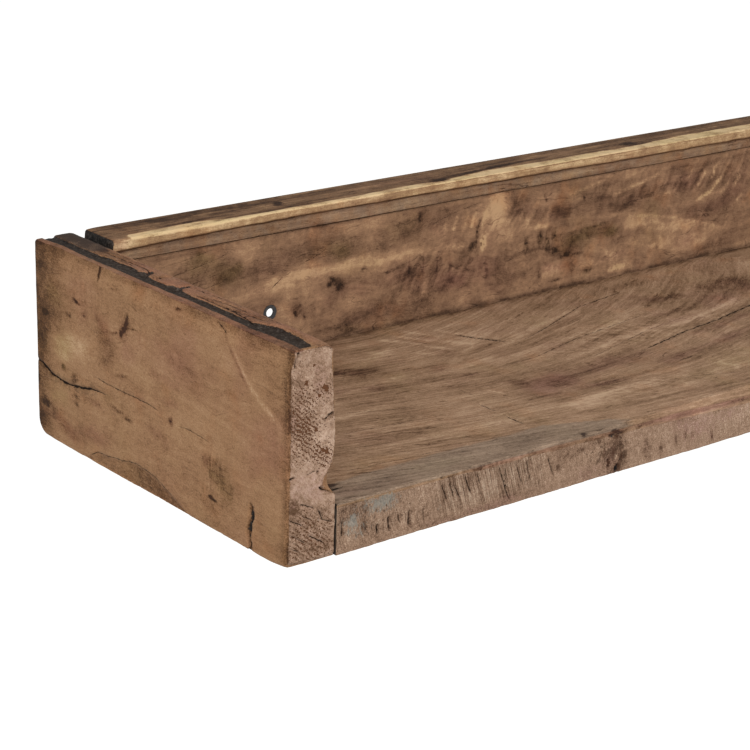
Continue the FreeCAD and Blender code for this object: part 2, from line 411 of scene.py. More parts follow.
class Shader(Nodes):
    """One material's node tree."""

    def __init__(self, name):
        self.material = bpy.data.materials.new(name)
        self.material.use_nodes = True
        super().__init__(self.material.node_tree)
        self.surface = self.put("ShaderNodeBsdfPrincipled", {})
        self.output = self.put("ShaderNodeOutputMaterial", {0: self.surface.outputs[0]})

    def coat(self, base, roughness, height, strength, reach):
        """Feeds the surface its colour, roughness and a bump that reaches some millimetres."""
        bump = self.put("ShaderNodeBump", {"Height": height, "Strength": strength, "Distance": reach * MM})
        self.feed(self.surface.inputs["Base Color"], base)
        self.feed(self.surface.inputs["Roughness"], roughness)
        self.feed(self.surface.inputs["Normal"], bump.outputs[0])

    def swing(self, value, weight):
        """A noise from 0 to 1 as a change about zero."""
        return (value - 0.5) * weight

    def ease(self, low, high, value, start=0, end=1):
        """A smooth step from start to end as the value goes from low to high."""
        inputs = {"Value": value, "From Min": low, "From Max": high, "To Min": start, "To Max": end}
        made = self.put("ShaderNodeMapRange", inputs, interpolation_type="SMOOTHSTEP")
        return Number(self, made.outputs[0])

    def mark(self, name):
        """A number stored on the mesh."""
        return Number(self, self.put("ShaderNodeAttribute", {}, attribute_name=name).outputs["Fac"])

    def covered(self, name, low, high, edge, sway):
        """How far a mark on the mesh covers the surface, with its edge broken up by noise."""
        return self.ease(low, high, self.mark(name) + self.swing(edge, sway))

    def places(self):
        """Places on the shelf in millimetres."""
        source = self.put("ShaderNodeTexCoord", {}).outputs["Object"]
        return self.vector_math("MULTIPLY", source, (1 / MM,) * 3)

    def turned(self, place, turn):
        """Places turned by angles in degrees."""
        if not any(turn):
            return place
        angles = tuple(math.radians(angle) for angle in turn)
        return self.put("ShaderNodeMapping", {"Vector": place, "Rotation": angles}).outputs[0]

    def noise(self, place, size, detail=2, roughness=0.5, turn=(0, 0, 0)):
        """Noise from about 0 to 1 with bumps of the given size in millimetres, one number or three."""
        sizes = size if isinstance(size, tuple) else (size,) * 3
        scaled = self.vector_math("MULTIPLY", self.turned(place, turn), tuple(1 / s for s in sizes))
        inputs = {"Vector": scaled, "Scale": 1, "Detail": detail, "Roughness": roughness}
        return Number(self, self.put("ShaderNodeTexNoise", inputs).outputs["Fac"])

    def rows(self, place, period, turn):
        """Wavering parallel rows across z, from 0 to 1, with a period in millimetres."""
        inputs = {
            "Vector": self.turned(place, turn), "Scale": 0.1 * math.pi / period,
            "Distortion": 6, "Detail": 3, "Detail Scale": 1.3,
        }
        return Number(self, self.put("ShaderNodeTexWave", inputs, bands_direction="Z").outputs["Fac"])

    def swirl(self, place, size, reach):
        """A smooth wandering offset, with bumps and a reach in millimetres."""
        wander = self.put("ShaderNodeTexNoise", {"Vector": place, "Scale": 1 / size, "Detail": 2})
        centred = self.vector_math("SUBTRACT", wander.outputs["Color"], (0.5,) * 3)
        return self.vector_math("MULTIPLY", centred, (reach,) * 3)

    def dots(self, place, spacing):
        """Nearness to scattered ragged dots, 1 at their middle, with their spacing in millimetres."""
        ragged = self.vector_math("ADD", place, self.swirl(place, 0.9, 1))
        scaled = self.vector_math("MULTIPLY", ragged, tuple(1 / s for s in spacing))
        away = self.put("ShaderNodeTexVoronoi", {"Vector": scaled, "Scale": 1}).outputs["Distance"]
        return self.math("SUBTRACT", 1, self.math("MULTIPLY", away, 1.5))

    def mix(self, share, a, b, blend="MIX"):
        """One colour over another."""
        made = self.put("ShaderNodeMix", {0: share, 6: a, 7: b}, data_type="RGBA", blend_type=blend)
        return made.outputs[2]

    def tinted(self, base, share, tint):
        """A colour multiplied by a tint, as far as the share from 0 to 1 says."""
        return self.mix(self.ease(0, 1, share), base, tint, "MULTIPLY")

    def ramp(self, value, stops):
        """A colour ramp over (position, colour) stops."""
        made = self.put("ShaderNodeValToRGB", {0: value})
        elements = made.color_ramp.elements
        while len(elements) < len(stops):
            elements.new(0.5)
        for element, (position, shade) in zip(elements, stops):
            element.position = position
            element.color = shade
        return made.outputs[0]


# Reclaimed wood

CRACK_DARK = colour(34, 25, 20)
KNOT = colour(66, 43, 31)
PAINT = colour(134, 140, 134)
PATINA = [(0.1, colour(62, 52, 46)), (0.5, colour(116, 102, 89)), (0.9, colour(150, 134, 117))]
# Char on the end boards' tops, and painted shade in gaps, joints and holes: the colours of the black mark.
CHAR_AND_SHADE = [
    (0.3, colour(18, 17, 17)), (0.5, colour(40, 38, 37)),
    (0.62, colour(66, 61, 57)), (0.78, colour(106, 97, 88)),
]
ORANGE = colour(255, 214, 178)
OLIVE = colour(230, 240, 214)
MAUVE = colour(236, 221, 236)
WOOD_BUMP = 0.45


def ramp_of(*shades):
    """Evenly spaced stops from the darkest shade to the palest."""
    return [(index / (len(shades) - 1), colour(*shade)) for index, shade in enumerate(shades)]


class Wood(Shader):
    """Reclaimed wood with its grain along one axis, over the marks stored on the mesh."""

    def __init__(self, name, along, look):
        super().__init__(name)
        self.along = along
        self.place = place = self.places()
        swirl = self.swirl(place, 17, look["swirl"])
        flow = self.put("ShaderNodeAttribute", {}, attribute_name="flow").outputs["Vector"]
        flowing = self.vector_math("ADD", self.vector_math("ADD", place, flow), swirl)
        self.flowing = self.vector_math("ADD", flowing, self.swirl(flowing, 3.2, 1.1))
        self.curled = self.vector_math("ADD", place, swirl)
        self.cloud = self.noise(self.curled, look["cloud"][0], 5, 0.58)
        self.mottle = self.noise(self.curled, 3.2, 4, 0.6)
        self.speck = self.noise(place, 0.75)
        self.patchy = self.noise(place, 1.2, 3)
        self.spots = self.mark("tone") * self.ease(0.28, 0.72, self.noise(place, 2.6, 5, 0.62), 0.35, 1.65)
        self.spots += self.mark("shade") * self.ease(0.25, 0.75, self.noise(place, 9, 5, 0.6), 0.6, 1.4)
        self.redness = self.swing(self.noise(place, 34, 3), look["redness"]) + self.mark("hue")

        base = self.clean_wood(look)
        base = self.rough_over(base, look["rough"])
        base = self.stains_and_shade_over(base)
        base = self.cracks_over(base)
        roughness = look["roughness"] + self.swing(self.cloud, 0.14) + self.on_rough * 0.2
        self.coat(base, roughness, self.relief(look["rough"]["relief"]), 1, WOOD_BUMP)
        self.surface.inputs["Specular IOR Level"].default_value = 0.03

    def grain(self, length, width, detail=2, roughness=0.5):
        """Noise drawn out along the grain."""
        size = [width] * 3
        size[self.along] = length
        return self.noise(self.flowing, tuple(size), detail, roughness)

    def clean_wood(self, look):
        """The wood's own colour, from its bands, fibres, curl, veins and pores."""
        *broad_size, broad_weight = look["broad"]
        *band_size, band_weight = look["band"]
        *vein_size, vein_weight = look["vein"]
        broad = self.grain(*broad_size, 3)
        self.band = self.grain(*band_size, 5, 0.62)
        self.fibre = self.grain(5.5, 0.55, 2, 0.6)
        self.pores = self.ease(0.64, 0.72, self.grain(3.4, 0.5, 1))
        contour = abs(self.grain(*vein_size) - 0.5)
        self.vein = self.ease(0, 0.016, contour, 1, 0) * self.ease(0.5, 0.66, self.noise(self.flowing, 13))
        curl_size, curl_turn, curl_weight = look["curl"]
        curl = self.ease(0.3, 0.7, self.noise(self.curled, curl_size, turn=curl_turn))
        curl = self.swing(curl, curl_weight) * self.mark("curl")
        tone = self.spots + look["level"] + self.swing(broad, broad_weight)
        tone += self.swing(self.band, band_weight) + self.swing(self.cloud, look["cloud"][1])
        tone += self.swing(self.fibre, look["fibre"]) + curl
        tone += self.swing(self.speck, look["speck"]) + self.swing(self.mottle, look["mottle"])
        self.tone = tone - self.vein * vein_weight - self.pores * look["pores"]
        base = self.ramp(self.tone, look["ramp"])
        base = self.tinted(base, self.swing(self.noise(self.place, 21, 4), look["warmth"]), ORANGE)
        base = self.tinted(base, self.redness, MAUVE)
        return self.tinted(base, self.redness * -1, OLIVE)

    def rough_over(self, base, rough):
        """Sawn or broken wood with pits, laid over a colour."""
        self.on_rough = self.covered("rough", 0.42, 0.58, self.patchy, 0.5)
        ridge_size, ridge_turn, ridge_weight = rough["ridge"]
        ridge = self.noise(self.place, ridge_size, 3, turn=ridge_turn)
        self.ridge = self.swing(ridge, ridge_weight) * (self.mark("curl") + 0.25)
        pit_field = self.rows(self.place, *rough["rows"]) * 0.3 + self.dots(self.place, rough["dots"]) * 0.55
        self.pits = self.ease(0.58, 0.68, pit_field + self.mark("pits") * 0.3) * self.on_rough
        grit = self.noise(self.place, 0.5, 1)
        tone = self.ridge + 0.5 + self.swing(self.speck, rough["grit"]) + self.swing(grit, rough["grit"])
        tone += self.swing(self.cloud, 0.5) + self.swing(self.mottle, rough["chunk"]) + self.spots * 0.9
        pinkness = self.redness + self.swing(self.mottle, 1.2) - 0.1
        base = self.mix(self.on_rough, base, self.tinted(self.ramp(tone, rough["ramp"]), pinkness, MAUVE))
        return self.mix(self.pits * rough["pit_share"], base, rough["pit_colour"])

    def stains_and_shade_over(self, base):
        """Knots, patina, paint, and char with painted shade in gaps and holes, laid over a colour."""
        knot_edge = self.noise(self.place, 1.7, 4, 0.6)
        knot = self.ease(0.5, 0.8, self.swing(knot_edge, 0.8) - self.mark("tone"))
        base = self.mix(knot * 0.75, base, KNOT)
        patina = self.covered("patina", 0.3, 0.75, self.noise(self.place, 9, 5, 0.65), 0.8)
        base = self.mix(patina * 0.6, base, self.ramp(self.tone, PATINA))
        paint = self.covered("paint", 0.4, 0.8, self.noise(self.place, (1.6, 1.6, 3.2), 4, 0.7), 1.6)
        base = self.mix(paint * 0.5, base, PAINT)
        # The black mark holds real char and painted shade alike.
        self.black_noise = self.noise(self.place, 2, 5, 0.68)
        self.charred_and_shaded = self.covered("black", 0.45, 0.55, self.black_noise, 0.8)
        return self.mix(self.charred_and_shaded * 0.94, base, self.ramp(self.black_noise, CHAR_AND_SHADE))

    def cracks_over(self, base):
        """Open cracks with a soft dark halo, laid over a colour."""
        wobble = self.swing(self.noise(self.place, 2.6, 5, 0.65), 1.6)
        from_line = abs(self.mark("crack") + wobble)
        broken = self.ease(0.35, 0.65, self.noise(self.place, 3.5), 0.5, 1.15)
        width = self.mark("crack_on") * broken * 0.6
        self.open_crack = self.ease(0, 0.25, width - from_line)
        halo = self.ease(0, 2.6, width * 5 - from_line, 0, 0.3)
        return self.mix(self.math("MAXIMUM", halo, self.open_crack), base, CRACK_DARK)

    def relief(self, rough_relief):
        """The fine relief that the bump shows, in shares of its reach."""
        height = self.fibre * 0.14 + self.band * 0.12 + self.speck * 0.16 - self.pores * 0.2 - self.vein * 0.3
        height += self.on_rough * (self.ridge + self.patchy * 0.6) * rough_relief - self.pits * 0.9
        return height - self.open_crack * 1.2 + self.charred_and_shaded * self.black_noise * 1.6


# Sizes are in millimetres and turns in degrees. An entry of several numbers ends with its weight,
# but for rows and dots, which have none.
END_GRAIN = {
    "ridge": ((3, 3, 1), (0, -40, 0), 0.5), "relief": 1.2, "grit": 0.55,
    "rows": (2.1, (0, -40, 0)), "dots": (1, 1.6, 0.85), "chunk": 1,
    "pit_colour": colour(92, 61, 42), "pit_share": 1,
    "ramp": ramp_of((92, 69, 52), (142, 114, 94), (172, 145, 125), (197, 172, 152)),
}
SAWN_EDGE = {
    "ridge": ((0.7, 3, 18), (0, 16, 0), 1.4), "relief": 2.2, "grit": 1,
    "rows": (6, (0, 60, 0)), "dots": (1.5, 3, 2.2), "chunk": 0.7,
    "pit_colour": colour(74, 54, 42), "pit_share": 0.6,
    "ramp": ramp_of((88, 66, 52), (129, 103, 84), (153, 126, 105), (184, 159, 137)),
}
END_LOOK = {
    "level": 0.58, "swirl": 7, "broad": (110, 26, 0.36), "band": (34, 3, 0.36),
    "cloud": (16, 0.36), "curl": ((3, 3, 34), (0, 0, 0), 0.24), "vein": (60, 16, 0.12),
    "mottle": 0.2, "fibre": 0.42, "speck": 0.66, "pores": 0.12,
    "ramp": ramp_of((58, 40, 28), (98, 70, 48), (140, 105, 76), (161, 126, 94), (186, 154, 121)),
    "warmth": 1.5, "redness": 1.4, "rough": END_GRAIN, "roughness": 0.52,
}
BOTTOM_LOOK = {
    "level": 0.6, "swirl": 2.4, "broad": (90, 14, 0.62), "band": (46, 2.2, 0.95),
    "cloud": (20, 0.5), "curl": ((10, 3, 3), (0, 0, 40), 0.3), "vein": (80, 8, 0.3),
    "mottle": 0.16, "fibre": 0.6, "speck": 0.5, "pores": 0.2,
    "ramp": ramp_of((56, 40, 31), (93, 69, 51), (130, 102, 79), (153, 123, 98), (178, 149, 122)),
    "warmth": 1.3, "redness": 1.5, "rough": SAWN_EDGE, "roughness": 0.52,
}
BACK_LOOK = {
    "level": 0.57, "swirl": 8, "broad": (90, 16, 0.7), "band": (36, 3.4, 0.5),
    "cloud": (13, 0.75), "curl": ((4.6, 30, 24), (0, -32, 0), 0.5), "vein": (50, 12, 0.24),
    "mottle": 0.4, "fibre": 0.3, "speck": 0.36, "pores": 0.14,
    "ramp": ramp_of((50, 37, 29), (86, 63, 48), (121, 92, 71), (148, 115, 88), (180, 146, 111)),
    "warmth": 1.8, "redness": 1.5, "rough": SAWN_EDGE, "roughness": 0.56,
}
RAIL_LOOK = {
    "level": 0.47, "swirl": 2, "broad": (90, 6, 0.4), "band": (46, 1.6, 0.5),
    "cloud": (14, 0.4), "curl": ((4, 30, 30), (0, -35, 0), 0.12), "vein": (60, 6, 0.24),
    "mottle": 0.1, "fibre": 0.3, "speck": 0.4, "pores": 0.14,
    "ramp": ramp_of((48, 34, 25), (84, 61, 44), (130, 100, 74), (164, 133, 98), (206, 178, 138)),
    "warmth": 1.4, "redness": 1, "rough": SAWN_EDGE, "roughness": 0.56,
}


# End boards: y runs along the grain, and x is measured from the outer face

FRONT_FOOT = 4
BACK_FOOT = 10
CHANNEL_STOP = 4
INNER_WEAR = 3.2
INNER_WEAR_WIDTH = 8
OUTER_LEAN = 2.2
INNER_LEAN = 1.2
GAP_SHADE_WIDTH = 1.6

# Stretches over which something fades in, from where there is none to where it is full
OUTER_LEAN_RISE = (108, 119.5)
OUTER_LEAN_SIDE = (END_THICKNESS / 2, 0)
OUTER_LEAN_END = (246, 225)
INNER_LEAN_RISE = (70, 112)
INNER_SIDE = (END_THICKNESS / 2, END_THICKNESS)
BITE_REACH = (9, 0)
BURNT_THROUGH = (52, 42)
TOP_WEAR = (HEIGHT - 22, HEIGHT - 2)
CHAR_RISE = (HEIGHT - 7, HEIGHT - 2)
# Painted shade under the outer face's top arris
TOP_ARRIS_SHADE = (113, 119)
DARK_WALL_END = (214, 262)
STRIP_PATINA = (200, 222)

# Tables of marks, in millimetres along a side's own two axes. A spot's row has its centre, half sizes
# and turn in degrees, then its tone and hue, or one amount. A line's row has its strength and the
# points that it runs through.
FLAKE_RIM = [
    (200, 0), (190, 4), (182, 8), (172, 8.5), (165, 10), (157, 10.5), (150, 12.5), (143, 13.5), (135, 13),
    (125, 12), (115, 9), (105, 6), (93, 2),
]
LEFT_END = {
    "seed": 11,
    "outer": [
        (151, 95, 1.3, 4, 15, -1, 0.4), (155, 88.5, 1.6, 4, 40, -1, 0.4),
        (153.5, 91.5, 4.5, 9, 20, -0.22, 0.3), (163, 85.5, 4, 1, -20, -0.4, 0.2),
        (144, 92.5, 5, 0.5, -5, -0.45, 0), (171, 78, 9, 9, 20, -0.2, 0.1), (176, 70, 6, 8, 0, -0.12, 0.1),
        (168, 67, 8, 5, -30, -0.14, 0.1), (156, 61.5, 8, 1.4, -10, -0.18, 0.1),
        (176, 87, 8, 6, 0, -0.14, 0.4), (205, 67, 16, 8, -10, 0.24, -0.3), (222, 62, 12, 8, 0, 0.16, -0.3),
        (228, 92, 12, 8, 0, 0.05, -0.4), (225, 30, 14, 7, 0, 0.1, -0.3), (236, 96, 30, 34, 0, -0.16, -0.1),
        (243, 60, 6, 12, 0, -0.08, -0.2), (238, 78, 3, 1.6, 0, -0.8, -0.8),
        (204, 93, 4, 0.8, 15, -0.7, 0.3), (213, 82.5, 3, 1.4, 0, -0.35, 0.3),
        (196, 87, 2, 1, 0, -0.45, 0.2), (181, 117, 0.9, 5, 4, -0.9, 0.5), (102, 115, 2.4, 1, 0, -0.5, 0.3),
        (206, 45, 4, 3, 0, -0.4, 0.1), (219, 49.5, 2, 2, 0, -0.45, -0.6), (239, 22, 5, 2.6, 10, -0.55, 0.2),
        (248, 35, 2, 3, 0, -0.8, 0), (245, 12, 8, 6, 0, -0.2, 0.3), (220, 14, 30, 5, 6, -0.14, 0.5),
        (186, 17, 14, 5, 0, -0.1, 0.5), (170, 22, 8, 5, 0, -0.12, 0.2), (206, 34, 5, 4, 0, -0.25, 0.3),
        (205, 30, 3, 1, 10, -0.3, 0.2), (160, 40, 10, 1.2, 4, -0.3, 0.2), (150, 37.5, 4, 1, -8, -0.4, 0.3),
        (185, 37, 12, 2, 4, -0.15, 0.3), (120, 38, 10, 5, 0, -0.07, 0.4), (108, 60, 10, 3, 0, -0.08, 0.4),
        (107.5, 50, 1.8, 2.4, 0, -0.6, 0.6), (118, 72, 14, 4, 0, -0.05, 0.3),
        (66, 34, 8, 7, 0, -0.24, -0.4), (54, 32, 6, 8, 0, -0.18, -0.4), (74, 38, 3, 4, 0, -0.2, 0.4),
        (58, 22, 10, 6, 0, -0.14, -0.2), (42, 28, 4, 9, 0, -0.1, 0), (69, 18.5, 2, 1.2, 0, -1.1, 0),
        (66, 17.5, 2.4, 0.8, 0, -0.5, -0.3), (30, 108, 20, 12, -30, -0.1, 0.2),
        (10, 95, 10, 16, 0, -0.12, 0.2), (50, 106, 12, 1.2, 45, -0.3, 0.2),
        (41, 96, 6, 1.2, 45, -0.25, 0.2), (22, 64, 22, 18, 0, 0.03, 0.6), (125, 85, 26, 14, 0, 0.1, 0.4),
        (150, 74, 10, 8, 0, 0.12, 0.4), (80, 90, 40, 20, 0, 0.04, 0.4), (150, 54, 50, 6, 0, 0.02, 0.3),
        (200, 100, 26, 14, 0, 0, 0.3),
    ],
    "outer_cracks": [
        (1.5, [(258, 47), (243, 45), (232, 41), (222, 40), (212, 40), (200, 42), (190, 44), (181, 45),
            (168, 46)]),
        (0.55, [(192, 53.5), (175, 52.5), (155, 52.5), (140, 53), (130, 53), (118, 52), (113, 50),
            (109, 49)]), (0.4, [(102, 49), (90, 50.5), (78, 50), (66, 49)]),
        (0.6, [(67, 118.5), (61, 116), (56, 113.5)]), (0.6, FLAKE_RIM),
        (0.3, [(209, 39), (206, 35), (198, 33)]),
    ],
    "flake": FLAKE_RIM + [(88, 0)],
    "pale_lines": [
        (1, [(57, 114), (45, 103), (38, 95), (28, 88), (12, 80), (2, 72)]),
        (0.4, [(110, 66), (95, 66.5), (70, 66), (50, 63), (40, 60), (30, 53)]),
        (0.4, [(76, 25), (64, 25), (52, 24.5)]),
    ],
    "slots": [(32, 22, 2, 5, -6, 1.6), (34, 12, 2, 6.5, 5, 1.6), (33, 3, 1.4, 5, 0, 1.4)],
    "curls": [(170, 100, 50, 18, 0, 0.35), (66, 34, 12, 16, 0, 1.2)],
    "channel": (
        [-9, 5, 10, 20, 30, 40, 46, 52, 60, 80, 100, 115, 120, 128, 131, 150, 153, 158, 161, 170, 190,
            205, 250],
        [10, 10, 10, 9.6, 9, 8, 7.6, 8, 8.2, 8.4, 8.4, 8, 7.4, 7.2, 7, 7, 7, 7, 7, 6.8, 6.6, 6.6, 7],
        [17, 18, 19, 21, 22, 21, 17, 13.6, 13.2, 13.2, 12.6, 12.8, 15.5, 15, 12.4, 13, 15, 17, 13.6, 16,
            15.4, 12.6, 13],
    ),
    "chips": [
        (18, 156, 5, 2.2, 30, 1.1), (20, 122.5, 7.5, 2, 0, 1.1), (20, 144, 6, 0.8, 12, 0.8),
        (20.5, 39, 3, 6, 20, 0.6), (22, 108, 2, 1, 0, 0.3),
    ],
    "top": [
        (22, 238, 14, 28, 0, -0.5, -0.6), (20, 207, 3.4, 4, 0, -0.4, 0.2), (24, 30, 4, 14, 0, 0.05, 0.1),
    ],
    "top_cracks": [
        (0.9, [(15, 114), (16.6, 105), (16.8, 90), (16.6, 70), (15.4, 56), (13.4, 44)]),
        (0.9, [(13, 148), (19, 145), (27, 141)]), (0.9, [(9, 124), (15, 123), (20, 122), (27, 121)]),
        (0.4, [(26, 98), (27, 88), (26, 80)]), (0.5, [(8, 52), (14, 44), (18, 30)]),
        (0.6, [(9, 36), (14, 30), (20, 28)]), (0.4, [(24, 46), (27, 36), (28, 20)]),
        (0.8, [(20, 205), (21, 190), (22, 170), (21, 150)]), (0.8, [(23, 116), (25, 100), (26, 84)]),
        (0.8, [(20, 98), (22, 80), (23, 62)]), (0.9, [(18, 78), (20, 60), (22, 46)]),
        (0.5, [(24, 205), (25, 180), (26, 165)]), (0.5, [(18, 188), (19, 176), (18, 166)]),
        (0.5, [(25, 62), (26, 50), (26, 36)]),
    ],
    "voids": [
        (31, 39.6, 4.4, 1.8, -8, 1.2), (27.8, 80, 3.6, 1, 28, 1.2), (3.6, 50.4, 2.4, 0.8, 0, 0.9),
        (21.5, 50, 1.4, 1, 0, 0.8),
    ],
    "front_cracks": [
        (1, [(4.8, 121), (5, 116), (4.8, 109)]), (0.7, [(20, 31), (22, 28), (24, 23), (31, 19.5)]),
        (0.5, [(20, 30), (12, 34), (8, 35)]), (0.5, [(2, 28), (12, 22)]), (0.5, [(2, 20), (14, 12)]),
        (0.4, [(2, 13), (10, 8)]), (0.5, [(14, 17), (26, 9)]), (0.4, [(9, 29), (18, 24)]),
        (0.4, [(12, 50.5), (20, 51.5)]),
    ],
    "front": [
        (5.2, 34, 4, 6, 0, -0.5, 0.3), (25, 27, 6, 8, 0, -0.04, -0.6), (16, 14, 18, 20, 0, -0.28, 0),
        (20, 106, 18, 16, 0, -0.16, 0.3), (14, 108, 3, 14, 0, 0.14, -0.6), (4, 108, 2.4, 14, 0, 0.08, -0.5),
        (14, 46, 9, 6, -30, 0.12, 0.1), (27, 68, 5, 9, 0, 0.14, 0.1), (4, 84, 4, 24, 0, -0.2, 0.2),
        (9, 72, 8, 12, 0, -0.1, -0.2),
    ],
    "pits": [
        (7, 82, 9, 24, 0, 0.72), (16, 72, 11, 18, 40, 0.62), (23, 58, 8, 7, 0, 0.85),
        (24, 95, 7, 4, 0, 0.7), (16, 96, 8, 6, 0, 0.4), (16, 14, 18, 19, 0, 0.8), (12, 45, 12, 7, -40, -1),
        (20, 36, 6, 8, 0, -0.6), (26, 70, 6, 8, 0, -0.4), (22, 110, 14, 8, 0, -0.4),
    ],
    "holes": [
        (11.9, 101), (26.4, 95), (24.5, 96.5), (20.3, 92), (18.6, 74), (16.8, 110), (26.5, 61), (24, 62),
    ],
    "paint": [(22, 24, 3, 1.5, 0, 0.4)],
    "inner_edge": (
        [0, 36.5, 38.5, 42, 46, 50, 55, 59, 65, 71, 80, 89, 103, 120],
        [33, 32.6, 29, 24, 24, 27.5, 30.6, 30.8, 31.6, 32, 31.2, 31, 30.6, 30.2],
    ),
}
RIGHT_END = {
    "seed": 47,
    "outer": [
        (60, 74, 4, 7, -15, -0.6, 0.2), (170, 40, 10, 16, 20, -0.3, 0), (205, 95, 20, 8, 0, -0.15, -0.5),
        (110, 90, 30, 14, 0, 0.15, 0.4), (200, 20, 3, 3, 0, -0.5, 0), (40, 25, 18, 14, 0, -0.2, 0),
    ],
    "outer_cracks": [
        (0.9, [(-2, 66), (14, 68), (40, 64), (66, 66), (92, 61)]),
        (0.6, [(252, 92), (226, 90), (190, 94), (150, 91)]),
    ],
    "flake": [(60, 0), (72, 6), (90, 5), (108, 8), (122, 0)],
    "pale_lines": [(0.6, [(120, 20), (150, 60), (160, 80)])],
    "slots": [(205, 10, 1.2, 8, 6, 1)],
    "curls": [(90, 80, 60, 30, 0, 0.4)],
    "channel": (
        [0, 12, 30, 60, 90, 140, 200, 250], [8, 7, 9, 7, 6.4, 7.6, 7, 8],
        [14, 16, 19, 14, 12.6, 15, 13, 13],
    ),
    "top": [(22, 20, 12, 24, 0, -0.3, 0), (20, 150, 4, 6, 0, -0.3, 0.2)],
    "chips": [(18, 60, 3, 4, 0, 0.9), (21, 190, 4, 3, 0, 1), (24, 140, 1.4, 18, 3, 0.5)],
    "top_cracks": [(0.8, [(14, 200), (16, 160), (15, 120)]), (0.5, [(25, 90), (26, 60)])],
    "voids": [(29, 60, 2.6, 4, 20, 0.9), (4, 96, 1.4, 3, 0, 0.6)],
    "front_cracks": [(0.9, [(12, 122), (14, 108), (12, 92)])],
    "front": [(18, 60, 14, 14, 0, -0.1, 0.3), (14, 100, 14, 14, 0, 0.12, 0)],
    "pits": [(16, 40, 16, 28, 0, 1), (14, 96, 14, 14, 0, 0.7)],
    "holes": [(10, 80), (22, 74)],
    "paint": [(24, 8, 5, 4, 0, 0.6)],
    "inner_edge": ([0, 50, 60, 70, 120], [31.8, 31.4, 28.6, 31.2, 31.8]),
}


def end_arris(points):
    """How far each arris of an end board is worn round."""
    x, y, z = points.T
    ragged = ease(-0.1, 0.9, rough_noise(points, 6, seed=5))
    radius = 1 + 1.4 * near_edge(x, DEPTH - y, 10)
    radius += (1.6 + 2 * ease(26, 4, z)) * near_edge(x, y, 10)
    radius += 1.6 * ragged * near_edge(END_THICKNESS - x, y, 6)
    return radius + 0.4 * ragged * near_edge(x, z, 8)


def round_foot(moved, reach, radius):
    """Rounds a lower corner of an end board; reach is each point's distance from the upright edge there."""
    u = np.clip(radius - reach, 0, None)
    v = np.clip(radius - moved[:, 2], 0, None)
    share = np.maximum(u, v) / np.maximum(np.hypot(u, v), 1e-6)
    share = np.where((u > 0) & (v > 0), share, 1)
    moved[:, 2] = np.where(v > 0, radius - v * share, moved[:, 2])
    return u * (1 - share)


